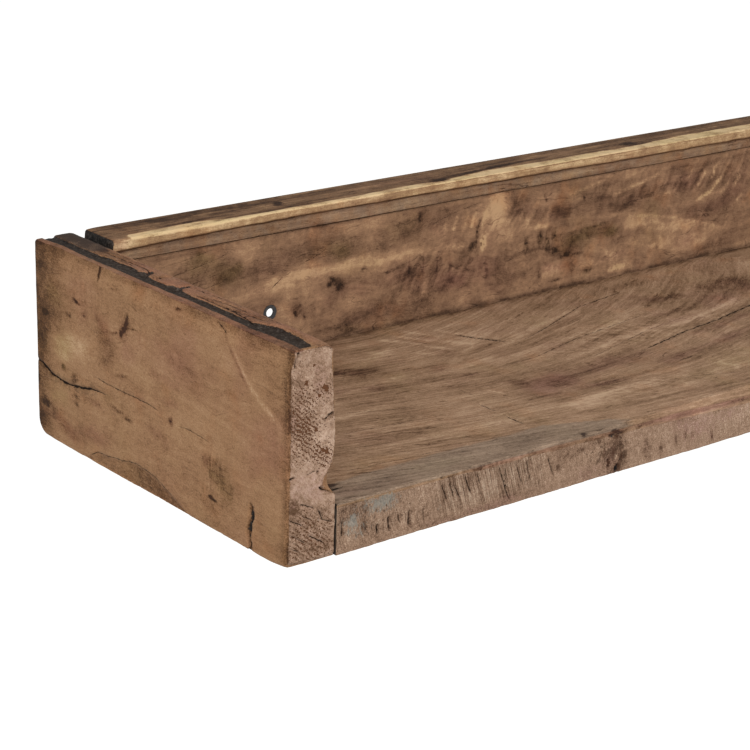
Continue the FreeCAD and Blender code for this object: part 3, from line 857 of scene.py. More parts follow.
class EndBoard:
    """The wear and marks of one end board."""

    def __init__(self, marks, place, normal):
        x, y, z = place.T
        seed = marks["seed"]
        self.marks, self.seed, self.place, self.normal = marks, seed, place, normal
        self.outer = Side(place, normal, 0, -1, seed)
        self.front = Side(place, normal, 1, -1, seed + 1)
        self.top = Side(place, normal, 2, 1, seed + 2)
        self.cracks = self.outer.lines(marks["outer_cracks"])
        self.front_cracks = self.front.lines(marks["front_cracks"])
        self.top_cracks = self.top.lines(marks["top_cracks"])
        self.slots = self.outer.spots(marks["slots"])
        self.voids = self.front.spots(marks["voids"])
        self.flake = self.outer.inside(marks["flake"], 1.5)
        self.chips = self.top.spots(marks["chips"]) * (1 + 0.8 * rough_noise(place, 3, seed + 2))

        along = place * (0, 1, 0)
        ragged = 0.25 * noise(along, 19, seed) + 0.35 * rough_noise(along, 4, seed + 1)
        far_ragged = 0.4 * noise(along, 23, seed + 3) + 0.8 * rough_noise(along, 5, seed + 4)
        stations, nears, fars = marks["channel"]
        near_side = np.interp(y, stations, nears) + ragged - 1.2
        far_side = np.interp(y, stations, fars) + far_ragged + 1.3
        in_channel = ease(near_side - 0.5, near_side + 0.5, x) * ease(far_side + 0.7, far_side - 0.7, x)
        self.in_channel = in_channel * ease(CHANNEL_STOP - 1, CHANNEL_STOP + 1, y + ragged)
        self.on_lip = self.top.weight * ease(near_side + 0.3, near_side - 0.3, x)
        self.on_strip = self.top.weight * ease(far_side - 0.6, far_side + 0.6, x)
        self.burnt = ease(*BURNT_THROUGH, y)

    def top_drop(self):
        """How far the top edge is worn down, in its channel, its chips and towards the inner face."""
        x, y, z = self.place.T
        inner = np.clip((x - END_THICKNESS + INNER_WEAR_WIDTH) / INNER_WEAR_WIDTH, 0, 1)
        drop = INNER_WEAR * inner**2 + 0.25 * (1 + rough_noise(self.place, 9, self.seed + 3))
        drop += self.in_channel * (1.2 + 1.2 * self.burnt + 0.5 * rough_noise(self.place, 2.5, self.seed + 4))
        drop += 1.8 * np.clip(self.chips, 0, 1.2) + groove(self.top_cracks, 0.7, 0.9)
        return drop * ease(*TOP_WEAR, z)

    def moved(self):
        """The worn places of the board's points."""
        place, seed = self.place, self.seed
        x, y, z = place.T
        depth = base_relief(place, seed) + 0.9 * self.flake
        depth += groove(self.cracks, 0.9, 0.7) + groove(self.front_cracks, 0.8, 1.7)
        depth += 4.5 * ease(0.25, 0.8, self.voids) + 4 * ease(0.3, 0.8, self.slots)
        front_relief = 0.4 * rough_noise(place, 3, seed + 5) + 0.5 * rough_noise(place, 12, seed + 6)
        depth += self.front.weight * (0.8 + front_relief)
        moved = place - self.normal * depth[:, None]
        moved[:, 2] -= self.top_drop()
        moved[:, 1] += round_foot(moved, moved[:, 1], FRONT_FOOT)
        moved[:, 1] -= round_foot(moved, DEPTH - moved[:, 1], BACK_FOOT)
        leaning = ease(*OUTER_LEAN_RISE, z) * ease(*OUTER_LEAN_SIDE, x) * ease(*OUTER_LEAN_END, y)
        moved[:, 0] += OUTER_LEAN * leaning
        bite = END_THICKNESS - np.interp(z + 0.8 * rough_noise(place, 4, seed + 9), *self.marks["inner_edge"])
        inner_wear = INNER_LEAN * ease(*INNER_LEAN_RISE, z) + bite * ease(*BITE_REACH, y)
        moved[:, 0] -= inner_wear * ease(*INNER_SIDE, x)
        return moved

    def stored_marks(self):
        """The numbers that the wood's shader reads."""
        x, y, z = self.place.T
        marks, outer, front, top = self.marks, self.outer, self.front, self.top
        tone, shade, hue = outer.stains(marks["outer"])
        front_tone, front_shade, front_hue = front.stains(marks["front"])
        top_tone, top_shade, top_hue = top.stains(marks["top"])
        tone += front_tone + top_tone + groove(outer.lines(marks["pale_lines"]), 1.8, 0.24)
        # The voids and slots are painted darker here and black below: painted shade in these deep holes.
        tone -= 0.6 * self.voids + 0.5 * ease(0.2, 0.8, self.slots)
        shade += front_shade + top_shade - (0.12 + 0.12 * self.burnt) * self.on_lip - 0.1 * self.on_strip
        # Painted shade: the outer face darkens under its top arris. It darkens towards the wall end too.
        shade -= outer.weight * (0.14 * ease(*TOP_ARRIS_SHADE, z) + 0.4 * ease(*DARK_WALL_END, y))
        # Painted shade on the rounded upright corner between the outer face and the front end grain; the
        # flake is darker too.
        shade -= 0.2 * ease(8, 1, y) * ease(3.6, 2, x) + 0.16 * self.flake
        hue += front_hue + top_hue + 0.1 * front.weight + 0.7 * self.on_lip + 0.6 * self.on_strip
        # Painted shade: the inner face is painted black low down in the gap beside the bottom board.
        shade_in_gap = ease(-GAP_SHADE_WIDTH, -GAP_SHADE_WIDTH / 2, x - END_THICKNESS)
        black = shade_in_gap * ease(1.2, 2.4, y) * ease(1, -1, z - BOTTOM_THICKNESS)
        black += (1.2 - 0.45 * self.burnt) * self.in_channel * ease(*CHAR_RISE, z)
        # The voids and slots are painted black: painted shade in the holes.
        black += 0.9 * np.clip(self.chips, 0, 1) + ease(0.3, 0.7, self.voids) + ease(0.4, 0.8, self.slots)
        rough = front.weight * ease(1.4, 2.8, x + 0.8 * noise(self.place, 4, self.seed + 8))
        back_end = ease(DEPTH - 4, DEPTH - 1, y) * facing(self.normal, 1, 1)
        holes = [(a, b, 0.9, 0.9, 0, 4) for a, b in marks["holes"]]
        stored = strongest(self.cracks, self.front_cracks, self.top_cracks)
        stored.update(
            tone=tone,
            shade=shade,
            hue=hue,
            black=np.clip(black, 0, 1.2),
            rough=np.maximum(np.maximum(rough, 0.3 * self.on_strip), back_end),
            pits=np.clip(front.spots(marks["pits"] + holes) + 0.8 * back_end, -1, 5),
            curl=outer.spots(marks["curls"]) + 0.8 * front.weight,
            paint=front.spots(marks["paint"]),
            patina=self.on_strip * (0.35 + 0.5 * ease(*STRIP_PATINA, y)) + 0.4 * self.on_lip,
            flow=flowing(self.place, self.seed + 20, (40, 90, 40), (6, 6, 6)),
        )
        return stored


def end_finish(marks, place, normal):
    """The wear and marks of one end board, from its own table."""
    board = EndBoard(marks, place, normal)
    return board.moved(), board.stored_marks()


# Bottom board: x runs along the grain, which dips in a wide valley

FRONT_GAP = 0.6
GAP_WIDTH = 3
WANE = 8
WANE_WIDTH = 12
WANE_PLACES = [30, 120, 200, 282, 363, 547, 665, 770]
WANE_SHARES = [0.03, 0.08, 0.14, 0.34, 0.55, 0.6, 0.3, 0.2]
VALLEY = 240
VALLEY_END = 560
VALLEY_SOFTNESS = 40
RIB_PERIOD = 2.6

# Stretches over which something fades in, from where there is none to where it is full
CHATTER = (128, 50)
TILT = (85, 110)
SAW_START, SAW_END = (96, 112), (190, 165)
RIBS_START, RIBS_END = (243, 249), (276, 262)
GREY_END = (266, 240)
CLEAN_ARRIS_START = (112, 135)
RED_EDGE_START = (245, 262)
BACK_SHADOW = (BACK_FACE - 10, BACK_FACE)
END_SHADOW = (END_THICKNESS + 8, END_THICKNESS + 1)

BOTTOM_TOP = [
    (172, 158, 20, 7, -20, -0.3, 0.5), (158, 166, 8, 4, 0, -0.2, 0.3), (246, 162, 10, 4, 0, -0.28, 0.2),
    (165, 130, 10, 6, 0, -0.22, 0.5), (222, 138, 14, 6, -10, -0.22, 0.3), (228, 118, 10, 3, 0, -0.28, 0.3),
    (60, 112, 30, 6, -14, -0.16, 0.3), (60, 200, 40, 26, 0, -0.4, 0), (120, 195, 60, 30, 0, -0.3, 0),
    (262, 76, 30, 16, 4, -0.16, 0.7), (316, 84, 30, 12, 8, -0.08, 0.6), (240, 88, 6, 8, 0, -0.22, 0.2),
    (285, 58, 22, 4, 0, -0.18, 0.6), (262, 38, 30, 9, 0, 0.28, -0.1), (320, 50, 50, 8, 6, 0.12, 0),
    (350, 110, 40, 12, 10, 0.14, -0.2), (290, 170, 60, 14, 10, 0.12, 0), (430, 138, 26, 6, 0, -0.2, 0.3),
    (445, 162, 24, 8, 0, -0.22, 0.3), (500, 166, 22, 9, 0, -0.22, 0.25), (480, 150, 60, 20, 6, -0.12, 0.3),
    (340, 160, 30, 5, 12, -0.2, 0.2), (450, 198, 30, 6, 0, -0.2, 0.2), (400, 75, 60, 5, 10, -0.08, 0.4),
    (430, 100, 50, 5, 8, -0.06, 0.4), (410, 122, 60, 6, 8, 0.2, 0.3), (330, 128, 60, 5, 8, 0.12, 0.1),
    (60, 10, 26, 8, -3, -0.16, 0.4), (115, 14, 30, 7, 0, 0.08, -0.5), (190, 14, 24, 7, 0, -0.1, -0.2),
    (200, 55, 40, 26, 0, 0.06, -0.1), (200, 176, 40, 5, 24, 0.14, -0.2), (250, 150, 36, 3, 30, 0.16, -0.2),
    (213, 3, 2.6, 1.4, 20, -0.6, 0), (45, 23, 4, 2, 10, -1.6, -0.2), (520, 60, 50, 14, 8, -0.2, 0.2),
    (620, 140, 60, 18, 0, -0.2, 0), (560, 180, 40, 12, 0, 0.15, 0), (690, 60, 40, 24, 0, 0.15, 0.2),
    (400, 44, 60, 14, 8, 0.08, -0.4),
]
BOTTOM_CRACKS = [
    (0.4, [(116, 109), (142, 98), (169, 91)]), (0.4, [(94, 81), (117, 79), (162, 73)]),
    (0.35, [(81, 63), (104, 57), (121, 55)]), (0.4, [(61, 37), (76, 34), (102, 32), (136, 29)]),
    (0.3, [(203, 102), (204, 87)]), (0.3, [(222, 101), (224, 90)]), (0.3, [(219, 61), (222, 47)]),
    (1, [(338, 87), (360, 93), (400, 103), (440, 109), (480, 118), (520, 125)]),
    (0.5, [(240, 118), (285, 120), (330, 132), (380, 140), (430, 148)]),
    (0.35, [(376, 24), (340, 38), (313, 42)]), (1.1, [(269, 184), (280, 166), (290, 151)]),
    (0.6, [(197, 76), (197, 60)]), (0.8, [(196.6, 52), (196, 34)]),
    (0.6, [(290, 145), (330, 160), (380, 181), (430, 190), (450, 192)]),
    (0.9, [(34, 20), (44, 19), (53, 19)]), (0.4, [(480, 88), (440, 76), (410, 70)]),
    (0.6, [(600, 40), (650, 44), (745, 42)]), (0.4, [(300, 96), (330, 104), (380, 118), (440, 128)]),
]
BOTTOM_PALE = [
    (0.7, [(220, 203), (232, 190), (242, 176)]), (0.6, [(232, 205), (252, 178)]),
    (0.5, [(246, 206), (262, 182)]), (0.6, [(238, 176), (252, 158)]), (0.6, [(256, 176), (270, 158)]),
    (0.5, [(264, 198), (278, 176)]), (0.5, [(222, 170), (236, 156)]), (0.4, [(196, 190), (214, 172)]),
    (0.6, [(246, 143), (290, 150), (330, 165), (372, 178), (400, 184)]),
    (0.5, [(300, 148), (340, 162), (380, 176)]), (0.6, [(336, 134), (390, 140), (440, 143)]),
    (0.5, [(256, 126), (300, 132), (352, 139)]), (0.4, [(200, 128), (240, 130), (270, 136)]),
    (0.9, [(396, 114), (430, 120), (465, 127), (500, 139)]), (0.6, [(420, 113), (450, 118), (490, 130)]),
    (0.6, [(290, 104), (336, 110), (350, 114)]), (0.5, [(120, 128), (170, 136), (200, 140)]),
    (0.4, [(90, 100), (150, 104), (190, 112)]), (0.5, [(215, 92), (222, 78)]),
    (0.5, [(224, 42), (260, 44), (300, 47)]), (0.6, [(372, 48), (378, 36), (370, 28)]),
    (0.4, [(100, 52), (160, 48), (210, 40)]),
]
BLUE_SCRATCH = [(0.6, [(197, 76), (197, 60)]), (1, [(196.6, 50), (196, 34)])]
BOTTOM_CURLS = [(300, 40, 60, 18, 0, 0.7), (350, 120, 60, 26, 0, 0.9), (90, 70, 70, 60, 0, 0.4)]
GREY_BAND = ([30, 50, 70, 130, 200, 212, 262], [22, 26, 28, 28, 27, 24, 4])
FRONT_EDGE = [
    (53, 12, 2.5, 5, 0, -0.4, 0.2), (40, 24, 8, 5, 0, -0.25, -0.2), (60, 25, 20, 5, 0, -0.1, -0.5),
    (70, 3, 60, 3, 0, -0.12, 0.2), (150, 3, 60, 3.5, 0, -0.14, 0.3), (200, 22, 14, 5, 0, -0.2, 0.1),
    (222, 25, 8, 4, 0, -0.2, 0.1), (238, 10, 11, 12, 0, -0.4, 0.3), (235, 20, 7, 4, 0, -0.25, 0.2),
    (238, 27, 6, 4, 0, -0.3, 0.2), (265, 10, 4, 6, 0, -0.34, 0.3), (262, 15, 2, 4, 0, -0.25, 0.2),
    (276, 8, 1.2, 4, 0, -0.6, 0.2), (288, 10, 1.4, 3, 0, -0.5, 0.2), (296, 13, 1.2, 4, 0, -0.5, 0.2),
    (302, 10, 1, 3, 0, -0.4, 0.2), (320, 6, 1, 4, 15, -0.8, 0.3), (192, 15, 1.2, 2.5, 0, -0.6, 0.1),
    (290, 24.5, 5, 3, 0, -0.2, 0.1), (340, 18, 60, 7, 0, 0.12, 0.2), (190, 8, 40, 8, 0, -0.04, 0.3),
    (140, 15, 40, 8, 0, 0.08, -0.3), (310, 16, 30, 8, 0, 0.06, 0.1), (238, 11, 1.2, 1.6, 0, 0.9, -0.5),
    (232, 8, 1.2, 4.5, 0, -0.9, 0.2), (243, 9, 1.4, 4, 0, -0.9, 0.2), (240, 3, 2.2, 2.6, 0, -1, 0.2),
    (246, 9, 1.2, 4, 0, -0.8, 0.2), (236, 14, 1.6, 3, 0, -0.7, 0.2), (229, 15, 1.2, 2.4, 0, -0.6, 0.2),
    (242, 17, 1, 2.4, 0, -0.8, 0.2), (233, 27, 1.5, 1.2, 0, -0.9, 0.2), (238, 25, 2, 1.2, 0, -0.8, 0.2),
    (236, 29, 2.5, 0.8, 0, -0.8, 0.2), (210, 22, 3, 1.2, 0, -0.5, 0.1), (224, 24, 1.4, 2, 0, -0.6, 0.1),
]
FRONT_VOIDS = [
    (232, 8, 1.2, 4, 0, 0.8), (243, 9, 1.4, 4, 0, 0.9), (240, 3, 2, 3, 0, 0.9), (246, 8, 1.2, 4, 0, 0.7),
    (242, 16, 1, 2.5, 0, 0.8), (235, 26, 2.4, 1.2, 30, 0.8), (240, 24, 1.2, 2, 0, 0.7),
    (228, 28, 1.4, 1.2, 0, 0.6), (236, 4, 1, 2.5, 0, 0.6), (106, 29, 3, 0.8, 0, 0.7),
]
FRONT_CHECKS = [
    (0.9, [(38, 9), (38, 20)]), (0.9, [(62, 5), (61.6, 12)]), (1, [(70, 5), (69.4, 15)]),
    (0.8, [(77, 8), (76.5, 14)]), (1, [(83, 4.5), (84, 15)]), (0.6, [(54, 9), (54, 15)]),
    (0.6, [(94, 5), (93, 14)]), (0.8, [(105.5, 25), (111, 12)]), (0.7, [(111, 25), (116, 12)]),
    (0.7, [(113, 25), (121, 10)]), (0.8, [(122, 27), (128, 12)]), (0.7, [(131, 26), (134, 18)]),
    (0.9, [(147, 27), (152, 14), (157, 1)]), (0.7, [(152, 24), (155, 12)]), (0.6, [(160, 26), (166, 8)]),
    (0.6, [(168, 26), (172, 10)]), (0.7, [(184, 24), (190, 8)]), (0.6, [(480, 20), (486, 4)]),
    (0.8, [(606, 24), (611, 6)]),
]
FRONT_PAINT = [
    (43, 18, 5, 6, 0, 0.7), (58, 25, 12, 6, 0, 0.45), (70, 24, 10, 7, 0, 0.4), (50, 12, 10, 6, 0, 0.35),
    (70, 18, 36, 14, 0, 0.2), (36, 20, 3, 8, 0, 0.3), (104, 12, 2.4, 4, 0, 0.4), (132, 24, 2, 3, 0, 0.4),
]
FRONT_PITS = [(232, 14, 22, 14, 0, 1.7)]


def bottom_arris(points):
    """How far each arris of the bottom board is worn round."""
    y, z = points[:, 1], points[:, 2]
    radius = 0.9 + (1.2 + noise(points, 13, seed=71)) * near_edge(y, BOTTOM_THICKNESS - z, 10)
    return radius + 0.5 * ease(0, 0.9, noise(points, 5, seed=72)) * near_edge(y, z, 8)


def bottom_flow(place, on_top, seed):
    """The course of the bottom board's grain, which dips in a wide valley."""
    x, y, z = place.T
    left_rise = VALLEY_SOFTNESS * np.logaddexp(0, (VALLEY - x) / VALLEY_SOFTNESS)
    right_rise = VALLEY_SOFTNESS * np.logaddexp(0, (np.minimum(x, VALLEY_END) - VALLEY) / VALLEY_SOFTNESS)
    flow = flowing(place, seed, (110, 45, 45), (6, 5, 3))
    flow[:, 1] -= (0.22 * left_rise + np.clip(0.12 + 0.002 * (y - 70), 0, 0.4) * right_rise) * on_top
    return flow


def bottom_finish(place, normal):
    """The wear and marks of the bottom board."""
    seed = 83
    x, y, z = place.T
    top = Side(place, normal, 2, 1, seed)
    front = Side(place, normal, 1, -1, seed)
    worn = np.interp(x, WANE_PLACES, WANE_SHARES)
    wane = WANE * worn * np.clip(1 - y / (WANE_WIDTH * worn), 0, 1) * ease(6, BOTTOM_THICKNESS - 1, z)

    checks = front.lines(FRONT_CHECKS)
    cracks = top.lines(BOTTOM_CRACKS)
    scratch = top.lines(BLUE_SCRATCH)
    voids = front.spots(FRONT_VOIDS) * (1 + 0.8 * rough_noise(place, 2.5, seed))
    tilted = place * (1, 0, 1)
    tilted[:, 0] += 0.4 * z * ease(*TILT, x)
    chatter = ease(*CHATTER, x) * ease(2, 8, z) * ease(29, 24, z)
    saw = ease(*SAW_START, x) * ease(*SAW_END, x) * ease(3, 9, z)
    ridges = rough_noise(tilted, (4.2, 9, 15), seed + 2, 2)
    saw_lines = noise(tilted, (1.7, 9, 60), seed + 4)
    ribs = ease(*RIBS_START, x) * ease(*RIBS_END, x) * near_edge(y, BOTTOM_THICKNESS - 3 - z, 5)

    front_depth = 0.35 + 0.3 * rough_noise(place, 3, seed + 3) + 0.9 * chatter * (1 + ridges)
    front_depth = front_depth * (0.3 + 0.7 * ease(0, 4, z)) + 0.35 * saw * (1 + saw_lines)
    depth = base_relief(place, seed) + front.weight * front_depth + 2.8 * ease(0.35, 0.9, voids)
    depth += groove(cracks, 0.9, 0.8) + groove(checks, 1.1, 1.5) + groove(scratch, 0.7, 0.4)
    depth += 0.4 * ribs * (1 + np.sin(2 * math.pi * x / RIB_PERIOD))
    moved = place - normal * depth[:, None]
    moved[:, 2] -= wane
    gap = FRONT_GAP * ease(12, 6, y)
    moved[:, 0] += gap * ease(END_THICKNESS + GAP_WIDTH, END_THICKNESS, x)
    moved[:, 0] -= gap * ease(LENGTH - END_THICKNESS - GAP_WIDTH, LENGTH - END_THICKNESS, x)

    tone, shade, hue = top.stains(BOTTOM_TOP)
    edge_tone, edge_shade, edge_hue = front.stains(FRONT_EDGE)
    band_edge = np.interp(x, *GREY_BAND) + 1.8 * rough_noise(place, (14, 6, 6), seed + 8)
    arris_strip = ease(25.5, 28, z + 1.6 * rough_noise(place, (9, 4, 4), seed + 9))
    arris_strip *= front.weight * ease(*CLEAN_ARRIS_START, x)
    shadow = ease(*BACK_SHADOW, y) + 0.7 * ease(*END_SHADOW, x)
    # The chatter's ridges are painted paler and its deeper valleys darker: painted highlight and painted
    # shade on that relief.
    tone += edge_tone + 0.22 * front.weight * (saw * saw_lines - 0.6 * chatter * ridges)
    rough = front.weight * ease(29.2, 27, z + wane) * (1 - 0.9 * arris_strip)
    pits = front.weight * (1.2 * chatter - 0.9) + front.spots(FRONT_PITS)
    stored = strongest(cracks, (checks[0], 0.8 * checks[1]))
    stored.update(
        tone=tone - groove(checks, 1, 0.35) + groove(top.lines(BOTTOM_PALE), 2.2, 0.4),
        shade=shade + edge_shade - 0.3 * top.weight * shadow - 0.06 * arris_strip,
        hue=hue + edge_hue + 0.5 * arris_strip + 0.2 * front.weight * ease(*RED_EDGE_START, x),
        # The knot's voids are painted black, partly dark knot and partly painted shade. The end face in the
        # gap by the left end board is painted black as painted shade.
        black=ease(0.3, 0.8, voids) * 0.75 + ease(0.3, 0.7, -normal[:, 0]) * ease(0.5, 1.5, y),
        rough=np.maximum(rough, 0.45 * facing(normal, 2, -1)),
        pits=np.clip(pits, -1, 1.2),
        curl=front.weight * (0.1 + 1.1 * saw + 0.4 * chatter) + top.spots(BOTTOM_CURLS),
        paint=front.spots(FRONT_PAINT) + groove(scratch, 0.6, 0.9),
        patina=0.8 * top.weight * ease(band_edge + 4, band_edge - 4, y) * ease(*GREY_END, x),
        flow=bottom_flow(place, top.weight, seed + 5),
    )
    return moved, stored


# Back board: x runs along the grain

BACK_FRONT = [
    (108, 92, 24, 9, -15, -0.12, -0.6), (118, 84, 12, 5, 20, -0.1, -0.5), (96, 98, 10, 5, 0, -0.1, -0.4),
    (133, 98, 10, 7, 0, 0.25, 0.6), (150, 86, 22, 7, 0, -0.1, 0.6), (185, 92, 16, 6, 10, -0.15, -0.4),
    (205, 88, 9, 6, -20, -0.15, -0.6), (232, 98, 16, 5, 0, 0.12, -0.2), (262, 93, 12, 9, 0, -0.12, -0.3),
    (270, 99, 1.6, 4, 0, -0.8, 0), (170, 75, 40, 5, 6, 0.3, 0.3), (235, 76, 40, 5, 0, 0.34, 0),
    (300, 75, 24, 4, 0, 0.3, 0.1), (200, 68, 5, 3.5, -20, -0.8, 0), (205, 63, 3, 4, 0, -0.8, 0.1),
    (196, 66, 2, 2, 0, -0.6, 0), (172, 53, 4.5, 5, 0, -0.35, 0.2), (170, 51, 1.2, 2.5, 20, -0.7, 0),
    (177, 48, 2, 2, 0, -0.6, 0), (184, 52, 3, 2, 0, -0.3, 0), (224, 72, 2.4, 1.4, 30, -0.7, 0),
    (247, 67, 8, 1.2, 10, -0.6, 0), (247, 62, 9, 5, 0, 0.12, 0.3), (280, 58, 34, 12, 0, -0.16, 0.7),
    (330, 56, 30, 10, 0, -0.1, 0.8), (215, 60, 22, 7, 0, -0.1, 0.7), (240, 40, 30, 6, 0, -0.2, 0.6),
    (300, 50, 16, 6, 0, -0.1, 0.6), (262, 68, 1, 8, 0, -0.3, 0.4), (274, 66, 1, 8, 0, -0.3, 0.4),
    (286, 64, 1, 8, 0, -0.25, 0.4), (297, 63, 1, 7, 0, -0.25, 0.4), (276, 50, 2.4, 6, 0, 0.5, 0),
    (325.5, 74, 3.4, 6, 0, 1.2, -0.8), (318, 73, 4, 4, 30, -0.9, -0.4), (321, 84, 1.6, 8, -10, -0.9, -0.3),
    (324, 73, 0.9, 1.2, 0, -1.5, 0), (336, 97, 9, 9, 20, 0.5, -0.1), (342, 82, 8, 6, -30, 0.2, 0.1),
    (353, 97, 5, 8, 0, -0.3, 0.4), (362, 92, 10, 6, 0, -0.2, 0.5), (365, 66, 2, 5, 0, -0.7, -0.3),
    (378, 68, 3, 5, 0, -0.8, -0.5), (385, 65, 2.4, 6, 0, -0.8, -0.5), (392, 68, 3, 5, 0, -0.8, -0.5),
    (372, 60, 16, 3, 0, -0.3, -0.2), (378, 77, 10, 2, 0, 0.3, 0), (382, 95, 1.1, 1.1, 0, -0.7, 0),
    (418, 91, 1.1, 1.1, 0, -0.7, 0), (420, 86, 34, 6, 4, -0.15, 0.4), (410, 58, 14, 5, 8, -0.15, -0.4),
    (430, 69.5, 20, 1.4, 4, -0.4, -0.5), (392, 57, 4, 3, 0, -1, -0.5), (402, 53, 6, 1.5, 10, -0.9, -0.3),
    (412, 52, 8, 1.2, 0, -0.5, -0.2), (448, 62, 8, 4, 0, -0.2, -1), (470, 66, 12, 6, 0, 0.3, -0.2),
    (500, 60, 26, 5, -10, 0.3, 0), (540, 53, 20, 4, -15, 0.25, 0), (480, 50, 30, 8, 0, 0.15, -0.2),
    (542, 64, 18, 10, -10, -0.16, 0.6), (566, 70, 18, 8, 0, -0.16, 0.7), (520, 88, 24, 8, 0, -0.24, 0.7),
    (470, 86, 26, 7, 10, -0.2, 0.6), (395, 84, 12, 5, 0, -0.2, 0.5), (378, 43, 3, 5, 0, -0.7, -0.2),
    (410, 42, 2, 5, 0, -0.6, -0.2), (392, 45, 14, 4, 0, 0.3, 0.7), (445, 44, 26, 4, 0, 0.25, 0.7),
    (455, 35, 10, 2.4, 0, 0.8, -0.3), (395, 36, 4, 1.2, 0, -0.7, -0.3), (425, 38, 6, 1.6, 10, -0.7, -0.3),
    (330, 52, 1.6, 7, 0, -0.4, 0.3), (345, 44, 20, 8, 0, -0.15, 0.4), (205, 36, 12, 3, 0, -0.4, -0.4),
    (215, 33, 10, 3, 0, -0.3, -0.6), (520, 44, 34, 6, -8, 0.16, 0.3), (650, 70, 30, 14, 10, -0.3, 0.3),
    (700, 40, 24, 10, 0, 0.2, 0), (60, 80, 18, 20, 0, -0.25, -0.2),
]
BACK_CRACKS = [
    (0.3, [(58, 88), (85, 92), (112, 97), (128, 104)]), (0.25, [(70, 81), (100, 85), (126, 90)]),
    (0.25, [(64, 97), (90, 100), (112, 104)]), (0.25, [(92, 78), (112, 81), (124, 86)]),
    (0.25, [(166, 88), (186, 90), (204, 95)]), (0.25, [(182, 84), (200, 86), (214, 91)]),
    (0.45, [(150, 70), (158, 76), (168, 80)]), (0.3, [(168, 81), (190, 88), (206, 98)]),
    (0.5, [(34, 64), (60, 66), (96, 62)]), (0.5, [(640, 90), (690, 86), (740, 88)]),
    (0.3, [(270, 90), (300, 98), (330, 103)]),
]
BACK_PALE = [
    (1, [(298, 84), (303, 97)]), (0.8, [(306, 82), (312, 97)]), (0.6, [(314, 84), (319, 98)]),
    (0.9, [(323, 83), (329, 98)]), (0.6, [(290, 86), (294, 96)]), (0.8, [(357, 84), (363, 93)]),
    (0.7, [(362, 76), (371, 88)]), (0.8, [(381, 80), (388, 90)]), (0.5, [(372, 72), (378, 80)]),
    (0.7, [(398, 94), (425, 99), (450, 104)]), (0.8, [(440, 88), (462, 92), (485, 97), (503, 104)]),
    (0.5, [(455, 100), (480, 104)]), (0.7, [(495, 82), (512, 85)]), (1.5, [(531, 83), (540, 97)]),
    (1.4, [(546, 86), (550, 99)]), (1.6, [(530, 72), (545, 78), (560, 90)]), (1.3, [(570, 78), (577, 88)]),
    (1.1, [(520, 88), (526, 99)]), (1, [(574, 66), (582, 72)]),
    (0.5, [(455, 74), (490, 68), (530, 58), (565, 48)]), (1, [(556, 74), (566, 84)]),
    (0.4, [(430, 76), (460, 74)]),
]
OLIVE_LOBE = [
    (425, 65, 26, 4, 4, 0.8), (405, 60, 12, 5, 20, 0.5), (450, 66, 8, 4, 0, 0.4),
    (108, 92, 18, 6, -15, 0.15),
]
BACK_CURLS = [
    (555, 92, 60, 14, 0, 0.5), (470, 92, 50, 10, 0, 0.3), (345, 86, 36, 16, 0, 0.5),
    (285, 60, 40, 14, 0, 0.6),
]


def back_arris(points):
    """How far each arris of the back board is worn round."""
    return 0.7 - 0.45 * near_edge(points[:, 1] - BACK_FACE, JOINT_HEIGHT - points[:, 2], 4)


def back_finish(place, normal):
    """The wear and marks of the back board, with painted shade under the rail joint and at its foot."""
    seed = 127
    z = place[:, 2]
    front = Side(place, normal, 1, -1, seed)
    cracks = front.lines(BACK_CRACKS)
    pale = front.lines(BACK_PALE)
    lobe = front.spots(OLIVE_LOBE)
    tone, shade, hue = front.stains(BACK_FRONT)
    # Painted shade: the face darkens just under its joint with the rail, and in the inner corner at its foot,
    # on the bottom board.
    shade_at_joint = front.weight * ease(1.6, 0.4, JOINT_HEIGHT - z)
    shade_at_foot = front.weight * near_edge(z - BOTTOM_THICKNESS, 0, 1.6)
    behind = facing(normal, 1, 1)
    sawn = noise(place, (2.6, 90, 60), seed + 7)
    blotches = noise(place, (70, 60, 22), seed + 8)
    depth = 0.8 * base_relief(place, seed) + groove(cracks, 0.9, 0.6) + 0.15 * behind * (1 + sawn)
    stored = strongest(cracks)
    stored.update(
        tone=0.6 * tone + groove(pale, 1.2, 0.36) - 0.08 * lobe + 0.2 * behind * sawn,
        shade=shade - 0.12 * lobe - 0.14 * shade_at_joint - 0.25 * shade_at_foot + behind * (0.12 + 0.25 * blotches),
        hue=0.6 * hue - 0.4 * lobe - groove(pale, 2, 0.2),
        rough=0.36 * behind,
        pits=0.3 * behind,
        curl=0.06 + front.spots(BACK_CURLS),
        black=0.2 * shade_at_foot,
        flow=flowing(place, seed + 5, (80, 40, 36), (12, 4, 11)),
    )
    return place - normal * depth[:, None], stored


# Rail on top of the back board: a lip stands proud of its face, and a pale stripe runs along its arris

